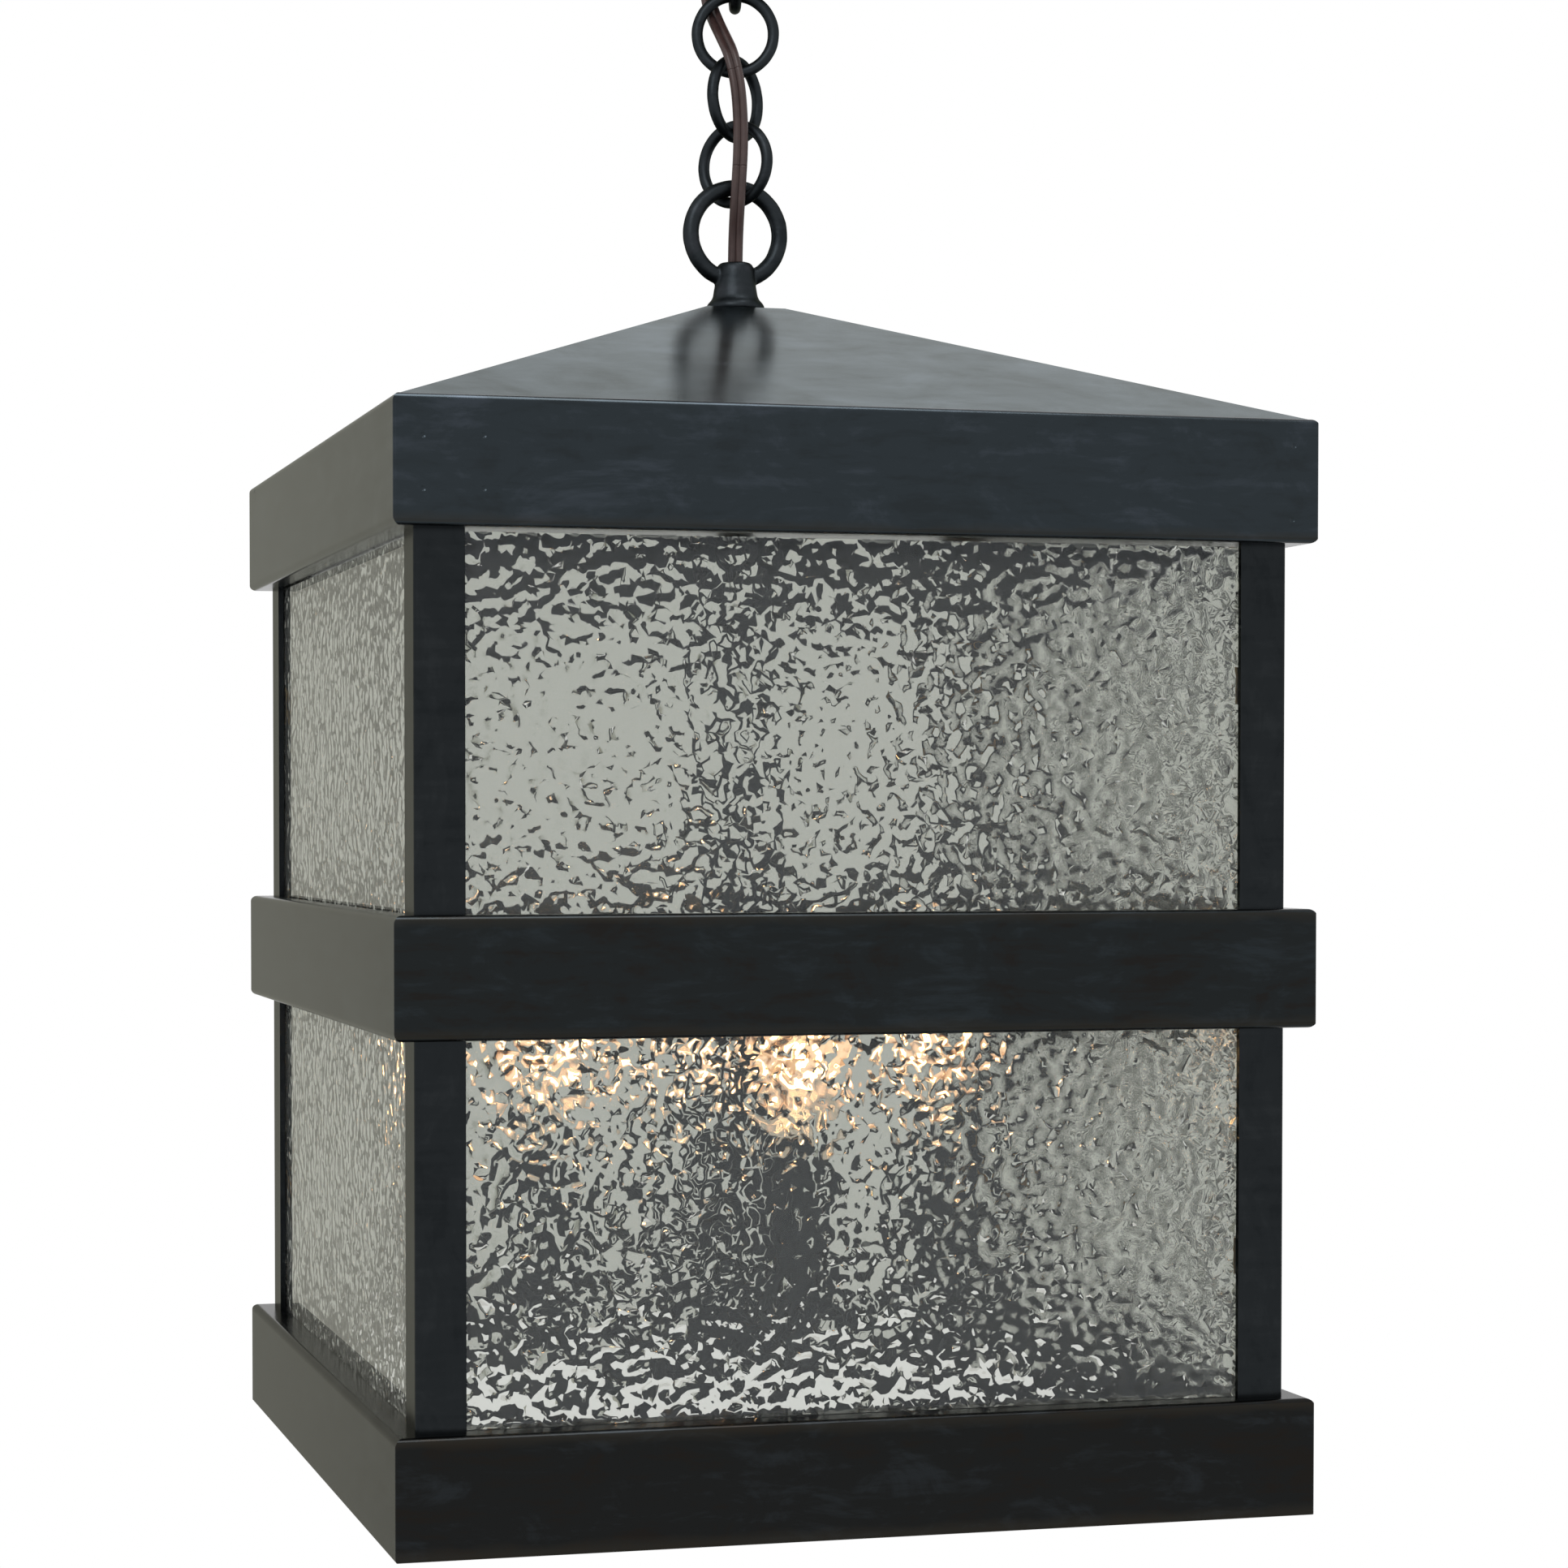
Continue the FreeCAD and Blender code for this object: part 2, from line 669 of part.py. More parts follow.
# Panes: one tall sheet of pebbled glass to each side, standing on the base flange behind the posts
for number, side in enumerate(("front", "right", "back", "left")):
    pane = new_body(f"glass_{side}")
    pane_sketch = sketch_on(pane, "XY_Plane", "plan")
    outline(pane_sketch, [(f"-{pane_half}", f"-{pane_outside}"), (pane_half, f"-{pane_outside}"),
                          (pane_half, f"-{pane_inside}"), (f"-{pane_half}", f"-{pane_inside}")])
    padded(pane, pane_sketch, f"{post_length} - dim.pane_top_play")
    place(pane, base_top, 90 * number)
    keep(pane)

# Clips: spring brass soldered into each post, with two wings that hold the panes against the legs
clip = new_body("clip_pattern")
clip_sketch = sketch_on(clip, "XY_Plane", "plan")
clip_root = f"-{post_inside}"
clip_stub = f"(-{pane_half} - dim.clip_play)"
clip_back = f"-{pane_inside}"
clip_front = f"(-{pane_inside} + dim.clip_sheet)"
clip_end = f"(-{pane_inside} + dim.clip_wing)"
outline(clip_sketch, [(clip_root, clip_root), (clip_stub, clip_root), (clip_stub, clip_back),
                      (clip_end, clip_back), (clip_end, clip_front), (clip_front, clip_front),
                      (clip_front, clip_end), (clip_back, clip_end), (clip_back, clip_stub),
                      (clip_root, clip_stub)])
padded(clip, clip_sketch, "dim.clip_height")
doc.recompute()
clip_copies = []
for level in (f"{base_top} + dim.clip_inset", f"{cap_foot} - dim.clip_inset - dim.clip_height"):
    for number in range(len(CORNERS)):
        copy = clip.Shape.copy()
        copy.rotate(Vector(), UP, 90 * number)
        copy.translate(UP * value(level))
        clip_copies.append(copy)
group("glass_clips", Part.makeCompound(clip_copies))

# Centre pipe, its nuts and the stem tube, from the lantern's loop down to the candle cluster
cluster_foot = f"({base_foot} + dim.cluster_foot)"
cluster_top = f"({cluster_foot} + dim.cluster_height)"
cluster_ceiling = f"({cluster_top} - dim.cluster_wall)"
pipe_foot = f"({cluster_ceiling} - dim.nut_height)"
pipe_top = f"({roof_top} + dim.pipe_seat)"
roof_under = f"({roof_top} - {roof_drop})"
centre_pipe = pipe("centre_pipe", f"{pipe_top} - {pipe_foot}")
place(centre_pipe, pipe_foot)
keep(centre_pipe)

nut = hexagon_nut("nut_pattern")
doc.recompute()
nut_copies = []
for level in (f"{roof_under} - dim.nut_height", pipe_foot):
    copy = nut.Shape.copy()
    copy.translate(UP * value(level))
    nut_copies.append(copy)
group("pipe_lock_nuts", Part.makeCompound(nut_copies))

stem_radius = "dim.stem_diameter / 2"
stem_inner = f"{stem_radius} - dim.stem_wall"
stem_length = f"{roof_under} - dim.nut_height - {cluster_top}"
stem_tube = turned("stem_tube", [(stem_inner, "0"), (stem_radius, "0"), (stem_radius, stem_length),
                                 (stem_inner, stem_length)])
place(stem_tube, cluster_top)
keep(stem_tube)

# Candle cluster: a turned cup on the pipe's end, closed from below by a cap with a knob
cluster_radius = "dim.cluster_diameter / 2"
cluster_inner = f"({cluster_radius} - dim.cluster_wall)"
arm_radius = "dim.arm_diameter / 2"
cluster = turned("cluster_body", [
    (cluster_inner, "0"),
    (cluster_radius, "0"),
    (cluster_radius, "dim.cluster_height - dim.cluster_round"),
    (f"{cluster_radius} - dim.cluster_round", "dim.cluster_height", "dim.cluster_round", "left"),
    (thread_radius, "dim.cluster_height"),
    (thread_radius, "dim.cluster_height - dim.cluster_wall"),
    (cluster_inner, "dim.cluster_height - dim.cluster_wall")])
doc.recompute()
for role in ("XZ_Plane", "YZ_Plane"):
    hole_sketch = sketch_on(cluster, role, "arm_holes")
    circle(hole_sketch, "0", "dim.arm_height", f"{arm_radius} + dim.seat_play")
    holes = cluster.newObject("PartDesign::Pocket", f"{hole_sketch.Name}_cut")
    holes.Profile = hole_sketch
    holes.Midplane = True
    holes.setExpression("Length", "dim.cluster_diameter * 2")
place(cluster, cluster_foot)
keep(cluster)

knob_neck = "dim.knob_neck / 2"
knob_radius = "dim.knob_diameter / 2"
cap_under = "-dim.cap_plate"
cluster_cap = turned("cluster_cap", [
    ("0", f"{cap_under} - {knob_neck} - 2 * {knob_radius}"),
    (knob_radius, f"{cap_under} - {knob_neck} - {knob_radius}", knob_radius, "left"),
    (knob_neck, f"{cap_under} - {knob_neck}"),
    (knob_neck, cap_under),
    (cluster_radius, cap_under),
    (cluster_radius, "0"),
    ("0", "0")])
place(cluster_cap, cluster_foot)
keep(cluster_cap)

# Arms: bent tubes from the cluster's side out and up to each candle
arm_end = "dim.arm_height + dim.arm_bend + dim.arm_spigot"
for number in range(4):
    arm = new_body(f"candle_arm_{number + 1}")
    spine = sketch_on(arm, "XZ_Plane", "spine")
    outline(spine, [(cluster_inner, "dim.arm_height"),
                    ("dim.candle_reach - dim.arm_bend", "dim.arm_height"),
                    ("dim.candle_reach", "dim.arm_height + dim.arm_bend", "dim.arm_bend", "left"),
                    ("dim.candle_reach", arm_end)], closed=False)
    section = sketch_on(arm, "YZ_Plane", "section", cluster_inner)
    circle(section, "0", "dim.arm_height", arm_radius)
    circle(section, "0", "dim.arm_height", f"{arm_radius} - dim.arm_wall")
    tube = arm.newObject("PartDesign::AdditivePipe", f"{arm.Name}_tube")
    tube.Profile = section
    tube.Spine = (spine, [f"Edge{edge}" for edge in (1, 2, 3)])
    place(arm, cluster_foot, 90 * number)
    keep(arm)


# Candles: a drip pan, a lamp holder and a sleeve on each arm's end

def at_candle(part, number, level):
    across, along = ((1, 0), (0, 1), (-1, 0), (0, -1))[number]
    place(part, level, 0, False, f"dim.candle_reach * {across}" if across else "0",
          f"dim.candle_reach * {along}" if along else "0")
    return keep(part)


pan_foot = f"({cluster_foot} + dim.arm_height + dim.arm_bend)"
candle_seat = f"({pan_foot} + dim.pan_sheet)"
pan_hole = f"{arm_radius} + dim.seat_play"
pan_rim = "dim.pan_diameter / 2"
pan = turned("pan_pattern", [
    (pan_hole, "0"),
    (f"{pan_rim} - dim.pan_depth", "0"),
    (pan_rim, "dim.pan_depth", "dim.pan_depth", "left"),
    (f"{pan_rim} - dim.pan_sheet", "dim.pan_depth"),
    (f"{pan_rim} - dim.pan_depth", "dim.pan_sheet", "dim.pan_depth - dim.pan_sheet", "right"),
    (pan_hole, "dim.pan_sheet")])
doc.recompute()
pan_copies = []
for number in range(4):
    copy = pan.Shape.copy()
    copy.translate(Vector(value("dim.candle_reach"), 0, value(pan_foot)))
    copy.rotate(Vector(), UP, 90 * number)
    pan_copies.append(copy)
group("drip_pans", Part.makeCompound(pan_copies))

holder_radius = "dim.holder_diameter / 2"
mouth_radius = "dim.holder_mouth / 2"
mouth_floor = "(dim.holder_length - dim.holder_depth)"
arm_seat = "(dim.arm_spigot - dim.pan_sheet + dim.seat_play)"
sleeve_radius = "dim.sleeve_diameter / 2"
sleeve_inner = f"{sleeve_radius} - dim.sleeve_wall"
for number in range(4):
    holder = turned(f"lamp_holder_{number + 1}", [
        (pan_hole, "0"), (holder_radius, "0"), (holder_radius, "dim.holder_length"),
        (mouth_radius, "dim.holder_length"), (mouth_radius, mouth_floor), ("0", mouth_floor),
        ("0", arm_seat), (pan_hole, arm_seat)])
    at_candle(holder, number, candle_seat)
    sleeve = turned(f"candle_sleeve_{number + 1}", [
        (sleeve_inner, "0"), (sleeve_radius, "0"), (sleeve_radius, "dim.sleeve_length"),
        (sleeve_inner, "dim.sleeve_length")])
    at_candle(sleeve, number, candle_seat)

# Lamps: a screw base, a torpedo envelope of thin glass and a filament on two leads
lamp_foot = f"({candle_seat} + {mouth_floor} + dim.lamp_rest)"
base_radius = "dim.lamp_base_diameter / 2"
base_inner = f"({base_radius} - dim.lamp_base_wall)"
base_length = "(dim.holder_depth + dim.lamp_rest)"
tip_radius = "dim.lamp_tip_diameter / 2"
# The envelope's two arcs meet upright at the belly, so each radius follows from its rise
neck_radius_out = f"({base_inner} - dim.thread_play)"
belly_radius = "dim.lamp_diameter / 2"
belly_level = f"({base_length} + dim.lamp_belly)"
point_level = f"({base_length} + dim.lamp_length)"
neck_level = f"({base_length} - dim.lamp_neck_sink)"
glass_wall = "dim.lamp_glass_wall"


def arc_radius(inset, rise):
    """Radius of an arc that stands upright at one end and draws in by inset over rise."""
    return f"(({inset}) ^ 2 + ({rise}) ^ 2) / (2 * ({inset}))"


neck_draw = f"{belly_radius} - {neck_radius_out}"
point_rise = "dim.lamp_length - dim.lamp_belly"
point_draw = f"{belly_radius} - dim.lamp_point"
inner_point = f"({point_level} - {glass_wall})"
for number in range(4):
    lamp_base = turned(f"lamp_base_{number + 1}", [
        ("0", "0"), (tip_radius, "0"), (base_radius, "dim.lamp_base_floor"),
        (base_radius, base_length), (base_inner, base_length),
        (base_inner, "dim.lamp_base_floor + dim.lamp_base_wall"),
        ("0", "dim.lamp_base_floor + dim.lamp_base_wall")])
    at_candle(lamp_base, number, lamp_foot)
    envelope = turned(f"lamp_glass_{number + 1}", [
        (f"{neck_radius_out} - {glass_wall}", neck_level),
        (neck_radius_out, neck_level),
        (neck_radius_out, base_length),
        (belly_radius, belly_level, arc_radius(neck_draw, "dim.lamp_belly"), "left"),
        ("dim.lamp_point", point_level, arc_radius(point_draw, point_rise), "left"),
        ("0", point_level),
        ("0", inner_point),
        (f"dim.lamp_point - {glass_wall} / 2", inner_point),
        (f"{belly_radius} - {glass_wall}", belly_level,
         arc_radius(f"{point_draw} - {glass_wall} / 2", f"{point_rise} - {glass_wall}"), "right"),
        (f"{neck_radius_out} - {glass_wall}", base_length,
         arc_radius(neck_draw, "dim.lamp_belly"), "right")])
    at_candle(envelope, number, lamp_foot)
    filament = new_body(f"lamp_filament_{number + 1}")
    lead_foot = "dim.lamp_base_floor + dim.lamp_base_wall"
    lead_side = "dim.filament_span / 2"
    lead_top = f"dim.filament_height - {lead_side}"
    hairpin = sketch_on(filament, "XZ_Plane", "hairpin")
    outline(hairpin, [(f"-{lead_side}", lead_foot), (f"-{lead_side}", lead_top),
                      ("0", "dim.filament_height", lead_side, "right"),
                      (lead_side, lead_top, lead_side, "right"), (lead_side, lead_foot)],
            closed=False)
    wire_section = sketch_on(filament, "XY_Plane", "section", lead_foot)
    circle(wire_section, f"-{lead_side}", "0", "dim.filament_wire / 2")
    wire = filament.newObject("PartDesign::AdditivePipe", f"{filament.Name}_wire")
    wire.Profile = wire_section
    wire.Spine = (hairpin, [f"Edge{edge}" for edge in (1, 2, 3, 4)])
    at_candle(filament, number, lamp_foot)

doc.recompute()
faults = [item.Label for item in doc.Objects
          if "Invalid" in item.State or "Error" in item.State]
for part in nodes:
    if part.Shape.isNull() or not part.Shape.isValid() or not part.Shape.Solids:
        faults.append(part.Label)
if faults:
    raise RuntimeError(f"these pieces failed: {sorted(set(faults))}")

os.makedirs("parts", exist_ok=True)
for part in nodes:
    part.Shape.exportStep(f"parts/{part.Label}.step")
print(f"{len(nodes)} pieces, overall height {-value(base_foot):.1f} mm")
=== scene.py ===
import math

import bpy
from mathutils import Matrix, Vector


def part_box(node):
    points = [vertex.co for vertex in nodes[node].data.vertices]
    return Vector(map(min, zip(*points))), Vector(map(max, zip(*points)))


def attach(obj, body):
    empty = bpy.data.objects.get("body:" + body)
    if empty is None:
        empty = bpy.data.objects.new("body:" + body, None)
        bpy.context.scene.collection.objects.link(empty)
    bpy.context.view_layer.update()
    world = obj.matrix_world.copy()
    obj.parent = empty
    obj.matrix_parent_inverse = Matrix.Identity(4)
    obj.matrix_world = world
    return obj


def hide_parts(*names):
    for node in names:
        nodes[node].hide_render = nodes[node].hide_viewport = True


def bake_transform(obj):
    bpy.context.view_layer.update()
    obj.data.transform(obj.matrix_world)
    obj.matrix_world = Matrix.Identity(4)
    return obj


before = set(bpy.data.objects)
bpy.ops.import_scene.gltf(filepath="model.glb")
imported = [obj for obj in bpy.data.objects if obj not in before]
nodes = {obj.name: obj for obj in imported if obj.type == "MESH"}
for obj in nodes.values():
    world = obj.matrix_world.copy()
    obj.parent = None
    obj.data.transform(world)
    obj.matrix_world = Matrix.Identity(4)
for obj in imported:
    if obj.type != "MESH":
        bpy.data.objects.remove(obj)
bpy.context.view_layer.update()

bpy.context.scene.view_settings.view_transform = "Standard"


# Camera, set where the corners of the three bands fall on their places in the picture.
# The picture is 1932 pixels square, and its optical axis lies left of and below its middle.
PICTURE = 1932
SENSOR = 36
FOCAL_PIXELS = 4187
AXIS_PIXEL = (723.5, 1124.0)
CAMERA_PLACE = (-0.3428, -1.1685, -0.3758)
forward = Vector((0.23943, 0.97057, -0.02600)).normalized()
right = Vector((0.97089, -0.23953, -0.00090)).normalized()
camera_data = bpy.data.cameras.new("camera")
camera_data.sensor_width = SENSOR
camera_data.lens = FOCAL_PIXELS / PICTURE * SENSOR
camera_data.shift_x = (PICTURE / 2 - AXIS_PIXEL[0]) / PICTURE
camera_data.shift_y = (AXIS_PIXEL[1] - PICTURE / 2) / PICTURE
camera = bpy.data.objects.new("camera", camera_data)
bpy.context.collection.objects.link(camera)
camera.matrix_world = (Matrix.Translation(CAMERA_PLACE)
                       @ Matrix((right, right.cross(forward), -forward)).transposed().to_4x4())
bpy.context.scene.camera = camera


# Ceiling crossbar, ground screw, short pipe and nuts: pressed and rolled steel with a bright zinc
# plating. The plating crystallises in a fine cloudy grain, and dulls a little where it is handled.
def linear(hex_colour):
    """An sRGB hex colour as linear red, green, blue and alpha."""
    channels = [int(hex_colour[i:i + 2], 16) / 255 for i in (1, 3, 5)]
    return [c / 12.92 if c <= 0.04045 else ((c + 0.055) / 1.055) ** 2.4 for c in channels] + [1]


def add(tree, kind, sockets=None, **settings):
    """Add a node; a socket takes a value or another node's output, and a ramp takes its stops."""
    made = tree.nodes.new(kind)
    stops = settings.pop("stops", ())
    for extra in stops[2:]:
        made.color_ramp.elements.new(0.5)
    for i, (position, colour) in enumerate(stops):
        made.color_ramp.elements[i].position = position
        made.color_ramp.elements[i].color = linear(colour)
    for name, setting in settings.items():
        setattr(made, name, setting)
    for socket, given in (sockets or {}).items():
        if isinstance(given, bpy.types.NodeSocket):
            tree.links.new(given, made.inputs[socket])
        else:
            made.inputs[socket].default_value = given
    return made


def new_material(name):
    """An empty material with its node tree, its shader and its Object coordinates."""
    material = bpy.data.materials.new(name)
    material.use_nodes = True
    tree = material.node_tree
    shader = tree.nodes["Principled BSDF"]
    place = add(tree, "ShaderNodeTexCoord").outputs["Object"]
    return material, tree, shader, place


def dress(material, *names):
    """Give CAD nodes a material."""
    for name in names:
        nodes[name].material_slots[0].material = material


zinc, tree, shader, place = new_material("zinc_plated_steel")
grain = add(tree, "ShaderNodeTexNoise", {"Vector": place, "Scale": 1 / 0.006, "Detail": 5})
tones = add(tree, "ShaderNodeValToRGB", {"Fac": grain.outputs["Fac"]},
            stops=[(0.3, "#A9ABAA"), (0.7, "#C3C4C0")])
tree.links.new(tones.outputs["Color"], shader.inputs["Base Color"])
rough = add(tree, "ShaderNodeMapRange", {"Value": grain.outputs["Fac"], "To Min": 0.28,
                                         "To Max": 0.5})
tree.links.new(rough.outputs["Result"], shader.inputs["Roughness"])
shader.inputs["Metallic"].default_value = 1
dress(zinc, "ceiling_crossbar", "ground_screw", "canopy_nipple", "crossbar_nut", "centre_pipe",
      "pipe_lock_nuts")


# Canopy: a spun brass dish, darkened with a chemical patina and waxed, as the whole case is.
# It is near black, clouded in blue and violet smears, and the wax shines at a low angle.
CLOUDS_LOW, CLOUDS_HIGH = 0.35, 0.65
STREAK_SHARE = 0.4
ROUGHNESS_SPREAD = 0.02
WORN_BROWN = "#35312A"
WORN_SHARE = 0.35
WORN_LINE = 0.0015
WORN_REACH = 0.009
OUTER_FACE = 0.1520
DIMPLE_FLOOR = 0.0003
DIMPLE_EDGE = 0.0011
DIMPLE_DEPTH = 0.0003


def patina(name, tones, sheens, roughness, cloud_mm, smear, edge_levels=(), dimples=()):
    """Patinated brass: tones, low-angle sheens, roughness, clouds, brown edges and dimples."""
    material, tree, shader, place = new_material(name)
    spread = add(tree, "ShaderNodeMapping", {"Vector": place, "Rotation": (0, 0.3, 0.3),
                                             "Scale": smear}).outputs["Vector"]
    clouds = add(tree, "ShaderNodeTexNoise", {"Vector": spread, "Scale": 1000 / cloud_mm,
                                              "Detail": 9, "Roughness": 0.66,
                                              "Distortion": 0.8}).outputs["Fac"]
    wiped = add(tree, "ShaderNodeMapping", {"Vector": place, "Rotation": (0.1, 0.12, 0),
                                            "Scale": (1, 1, 7)}).outputs["Vector"]
    streaks = add(tree, "ShaderNodeTexNoise", {"Vector": wiped, "Scale": 1 / 0.03, "Detail": 8,
                                               "Roughness": 0.62}).outputs["Fac"]
    clouds = add(tree, "ShaderNodeMix", {"Factor": STREAK_SHARE, 2: clouds, 3: streaks}).outputs[0]
    dark, middle, light = tones
    dull, shine = sheens
    colour = add(tree, "ShaderNodeValToRGB", {"Fac": clouds},
                 stops=[(0.40, dark), (0.48, middle), (0.52, middle), (0.62, light)]).outputs["Color"]
    if edge_levels:
        axes = add(tree, "ShaderNodeSeparateXYZ", {"Vector": place}).outputs
        nearest = None
        for level in edge_levels:
            gap = add(tree, "ShaderNodeMath", {0: axes["Z"], 1: level / 1000}, operation="SUBTRACT")
            gap = add(tree, "ShaderNodeMath", {0: gap.outputs[0]}, operation="ABSOLUTE").outputs[0]
            nearest = gap if nearest is None else add(
                tree, "ShaderNodeMath", {0: nearest, 1: gap}, operation="MINIMUM").outputs[0]
        patches = add(tree, "ShaderNodeTexNoise", {"Vector": place, "Scale": 1 / 0.025,
                                                   "Detail": 6}).outputs["Fac"]
        reach = add(tree, "ShaderNodeMath", {0: patches, 1: WORN_REACH},
                    operation="MULTIPLY").outputs[0]
        worn = add(tree, "ShaderNodeMapRange", {"Value": nearest, "From Min": WORN_LINE,
                                                "From Max": reach, "To Min": WORN_SHARE,
                                                "To Max": 0})
        across = [add(tree, "ShaderNodeMath", {0: axes[axis]}, operation="ABSOLUTE").outputs[0]
                  for axis in "XY"]
        across = add(tree, "ShaderNodeMath", {0: across[0], 1: across[1]}, operation="MAXIMUM")
        outer = add(tree, "ShaderNodeMath", {0: across.outputs[0], 1: OUTER_FACE},
                    operation="GREATER_THAN")
        worn = add(tree, "ShaderNodeMath", {0: worn.outputs["Result"], 1: outer.outputs[0]},
                   operation="MULTIPLY")
        colour = add(tree, "ShaderNodeMix", {"Factor": worn.outputs[0], 6: colour,
                                             7: linear(WORN_BROWN)}, data_type="RGBA").outputs[2]
    tree.links.new(colour, shader.inputs["Base Color"])
    grain = add(tree, "ShaderNodeTexNoise", {"Vector": place, "Scale": 1 / 0.0009, "Detail": 3,
                                             "Roughness": 0.6}).outputs["Fac"]
    rough = add(tree, "ShaderNodeMapRange", {
        "Value": clouds, "From Min": CLOUDS_LOW, "From Max": CLOUDS_HIGH,
        "To Min": roughness - ROUGHNESS_SPREAD, "To Max": roughness + ROUGHNESS_SPREAD})
    tree.links.new(rough.outputs["Result"], shader.inputs["Roughness"])
    shader.inputs["Metallic"].default_value = 1
    waxed = add(tree, "ShaderNodeMapRange", {"Value": clouds, "From Min": CLOUDS_LOW,
                                             "From Max": CLOUDS_HIGH})
    sheen = add(tree, "ShaderNodeMix", {"Factor": waxed.outputs["Result"], 6: linear(dull),
                                        7: linear(shine)}, data_type="RGBA")
    tree.links.new(sheen.outputs[2], shader.inputs["Specular Tint"])
    bump = add(tree, "ShaderNodeBump", {"Height": grain, "Strength": 0.12, "Distance": 0.0001})
    if dimples:
        nearest = None
        for spot in dimples:
            gap = add(tree, "ShaderNodeVectorMath", {0: place, 1: [v / 1000 for v in spot]},
                      operation="DISTANCE").outputs["Value"]
            nearest = gap if nearest is None else add(
                tree, "ShaderNodeMath", {0: nearest, 1: gap}, operation="MINIMUM").outputs[0]
        dish = add(tree, "ShaderNodeMapRange", {"Value": nearest, "From Min": DIMPLE_FLOOR,
                                                "From Max": DIMPLE_EDGE},
                   interpolation_type="SMOOTHSTEP")
        bump = add(tree, "ShaderNodeBump", {"Height": dish.outputs["Result"], "Strength": 1,
                                            "Distance": DIMPLE_DEPTH,
                                            "Normal": bump.outputs["Normal"]})
    tree.links.new(bump.outputs["Normal"], shader.inputs["Normal"])
    return material


spun_patina = patina("patinated_brass_spun", ("#252A2D", "#2A2F32", "#303338"),
                     ("#AEAEA8", "#C1C1BA"), 0.3, 40, (1, 1, 2))
dress(spun_patina, "ceiling_canopy")


# Screw collar: a turned brass ring that holds the canopy up, knurled so that fingers can grip it.
# It is turned on a lathe, so it is a circle drawn through levels, and then its rim is notched.
def turned(name, levels, sides):
    """A turned ring: a circle drawn through (radius, height) levels in mm and closed on itself."""
    bpy.ops.object.select_all(action="DESELECT")
    radius, height = levels[0]
    bpy.ops.mesh.primitive_circle_add(vertices=sides, radius=radius / 1000,
                                      location=(0, 0, height / 1000))
    piece = bpy.context.object
    piece.name = name
    bpy.ops.object.transform_apply(location=True, rotation=False, scale=False)
    bpy.ops.object.mode_set(mode="EDIT")
    bpy.ops.mesh.select_all(action="SELECT")
    for next_radius, next_height in levels[1:] + levels[:1]:
        bpy.ops.mesh.extrude_edges_move(
            TRANSFORM_OT_translate={"value": (0, 0, (next_height - height) / 1000)})
        bpy.ops.transform.resize(value=(next_radius / radius, next_radius / radius, 1),
                                 center_override=(0, 0, next_height / 1000))
        radius, height = next_radius, next_height
    bpy.ops.mesh.select_all(action="SELECT")
    bpy.ops.mesh.remove_doubles(threshold=1e-6)
    bpy.ops.mesh.normals_make_consistent(inside=False)
    bpy.ops.object.mode_set(mode="OBJECT")
    return piece


def finish_piece(piece, material, body, slot, *stands_for):
    """Give a new piece its finish and its body, and hide the CAD nodes it stands for. The slot is not
    used.
    """
    piece.data.materials.clear()
    piece.data.materials.append(material)
    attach(piece, body)
    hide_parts(*stands_for)


COLLAR_RIM = 14.5
KNURLS = 40
KNURL_MARGIN = 0.00022
KNURL_DEPTH = 0.00045
collar = turned("knurled_collar", [
    (9.05, -24), (13.2, -24), (14.1, -24.4), (COLLAR_RIM, -25.3), (COLLAR_RIM, -28.7),
    (14.1, -29.6), (13.2, -30), (9.05, -30)], KNURLS * 2)
for face in collar.data.polygons:
    outward = Vector((face.center.x, face.center.y, 0))
    turn = math.atan2(face.center.y, face.center.x) / (2 * math.pi) * KNURLS * 2
    is_rim = outward.length > 0.98 * COLLAR_RIM / 1000 and abs(face.normal.z) < 0.1
    face.select = is_rim and math.floor(turn) % 2 == 0
bpy.ops.object.mode_set(mode="EDIT")
bpy.ops.mesh.select_mode(type="FACE")
bpy.ops.mesh.inset(thickness=KNURL_MARGIN, depth=-KNURL_DEPTH, use_individual=True)
bpy.ops.object.mode_set(mode="OBJECT")
bpy.ops.object.shade_smooth_by_angle(angle=math.radians(28))
finish_piece(collar, spun_patina, "canopy", "bronze", "canopy_collar")


# Cast loops: one brass casting each, a ring whose legs run into a hub with a bead at its foot.
# The skin is a little uneven from the mould, and every inside corner is soft.
RING_RADIUS = 16.4
RING_WIRE = 5.8
CORD_HOLE = 6.0
DRILL_OVERRUN = 4.0
cast_patina = patina("patinated_brass_cast", ("#24282B", "#2B2F32", "#33363A"),
                     ("#AEAEA8", "#C1C1BA"), 0.44, 14, (1, 1, 1))
mould_skin = bpy.data.textures.new("mould_skin", "CLOUDS")
mould_skin.noise_scale = 0.004


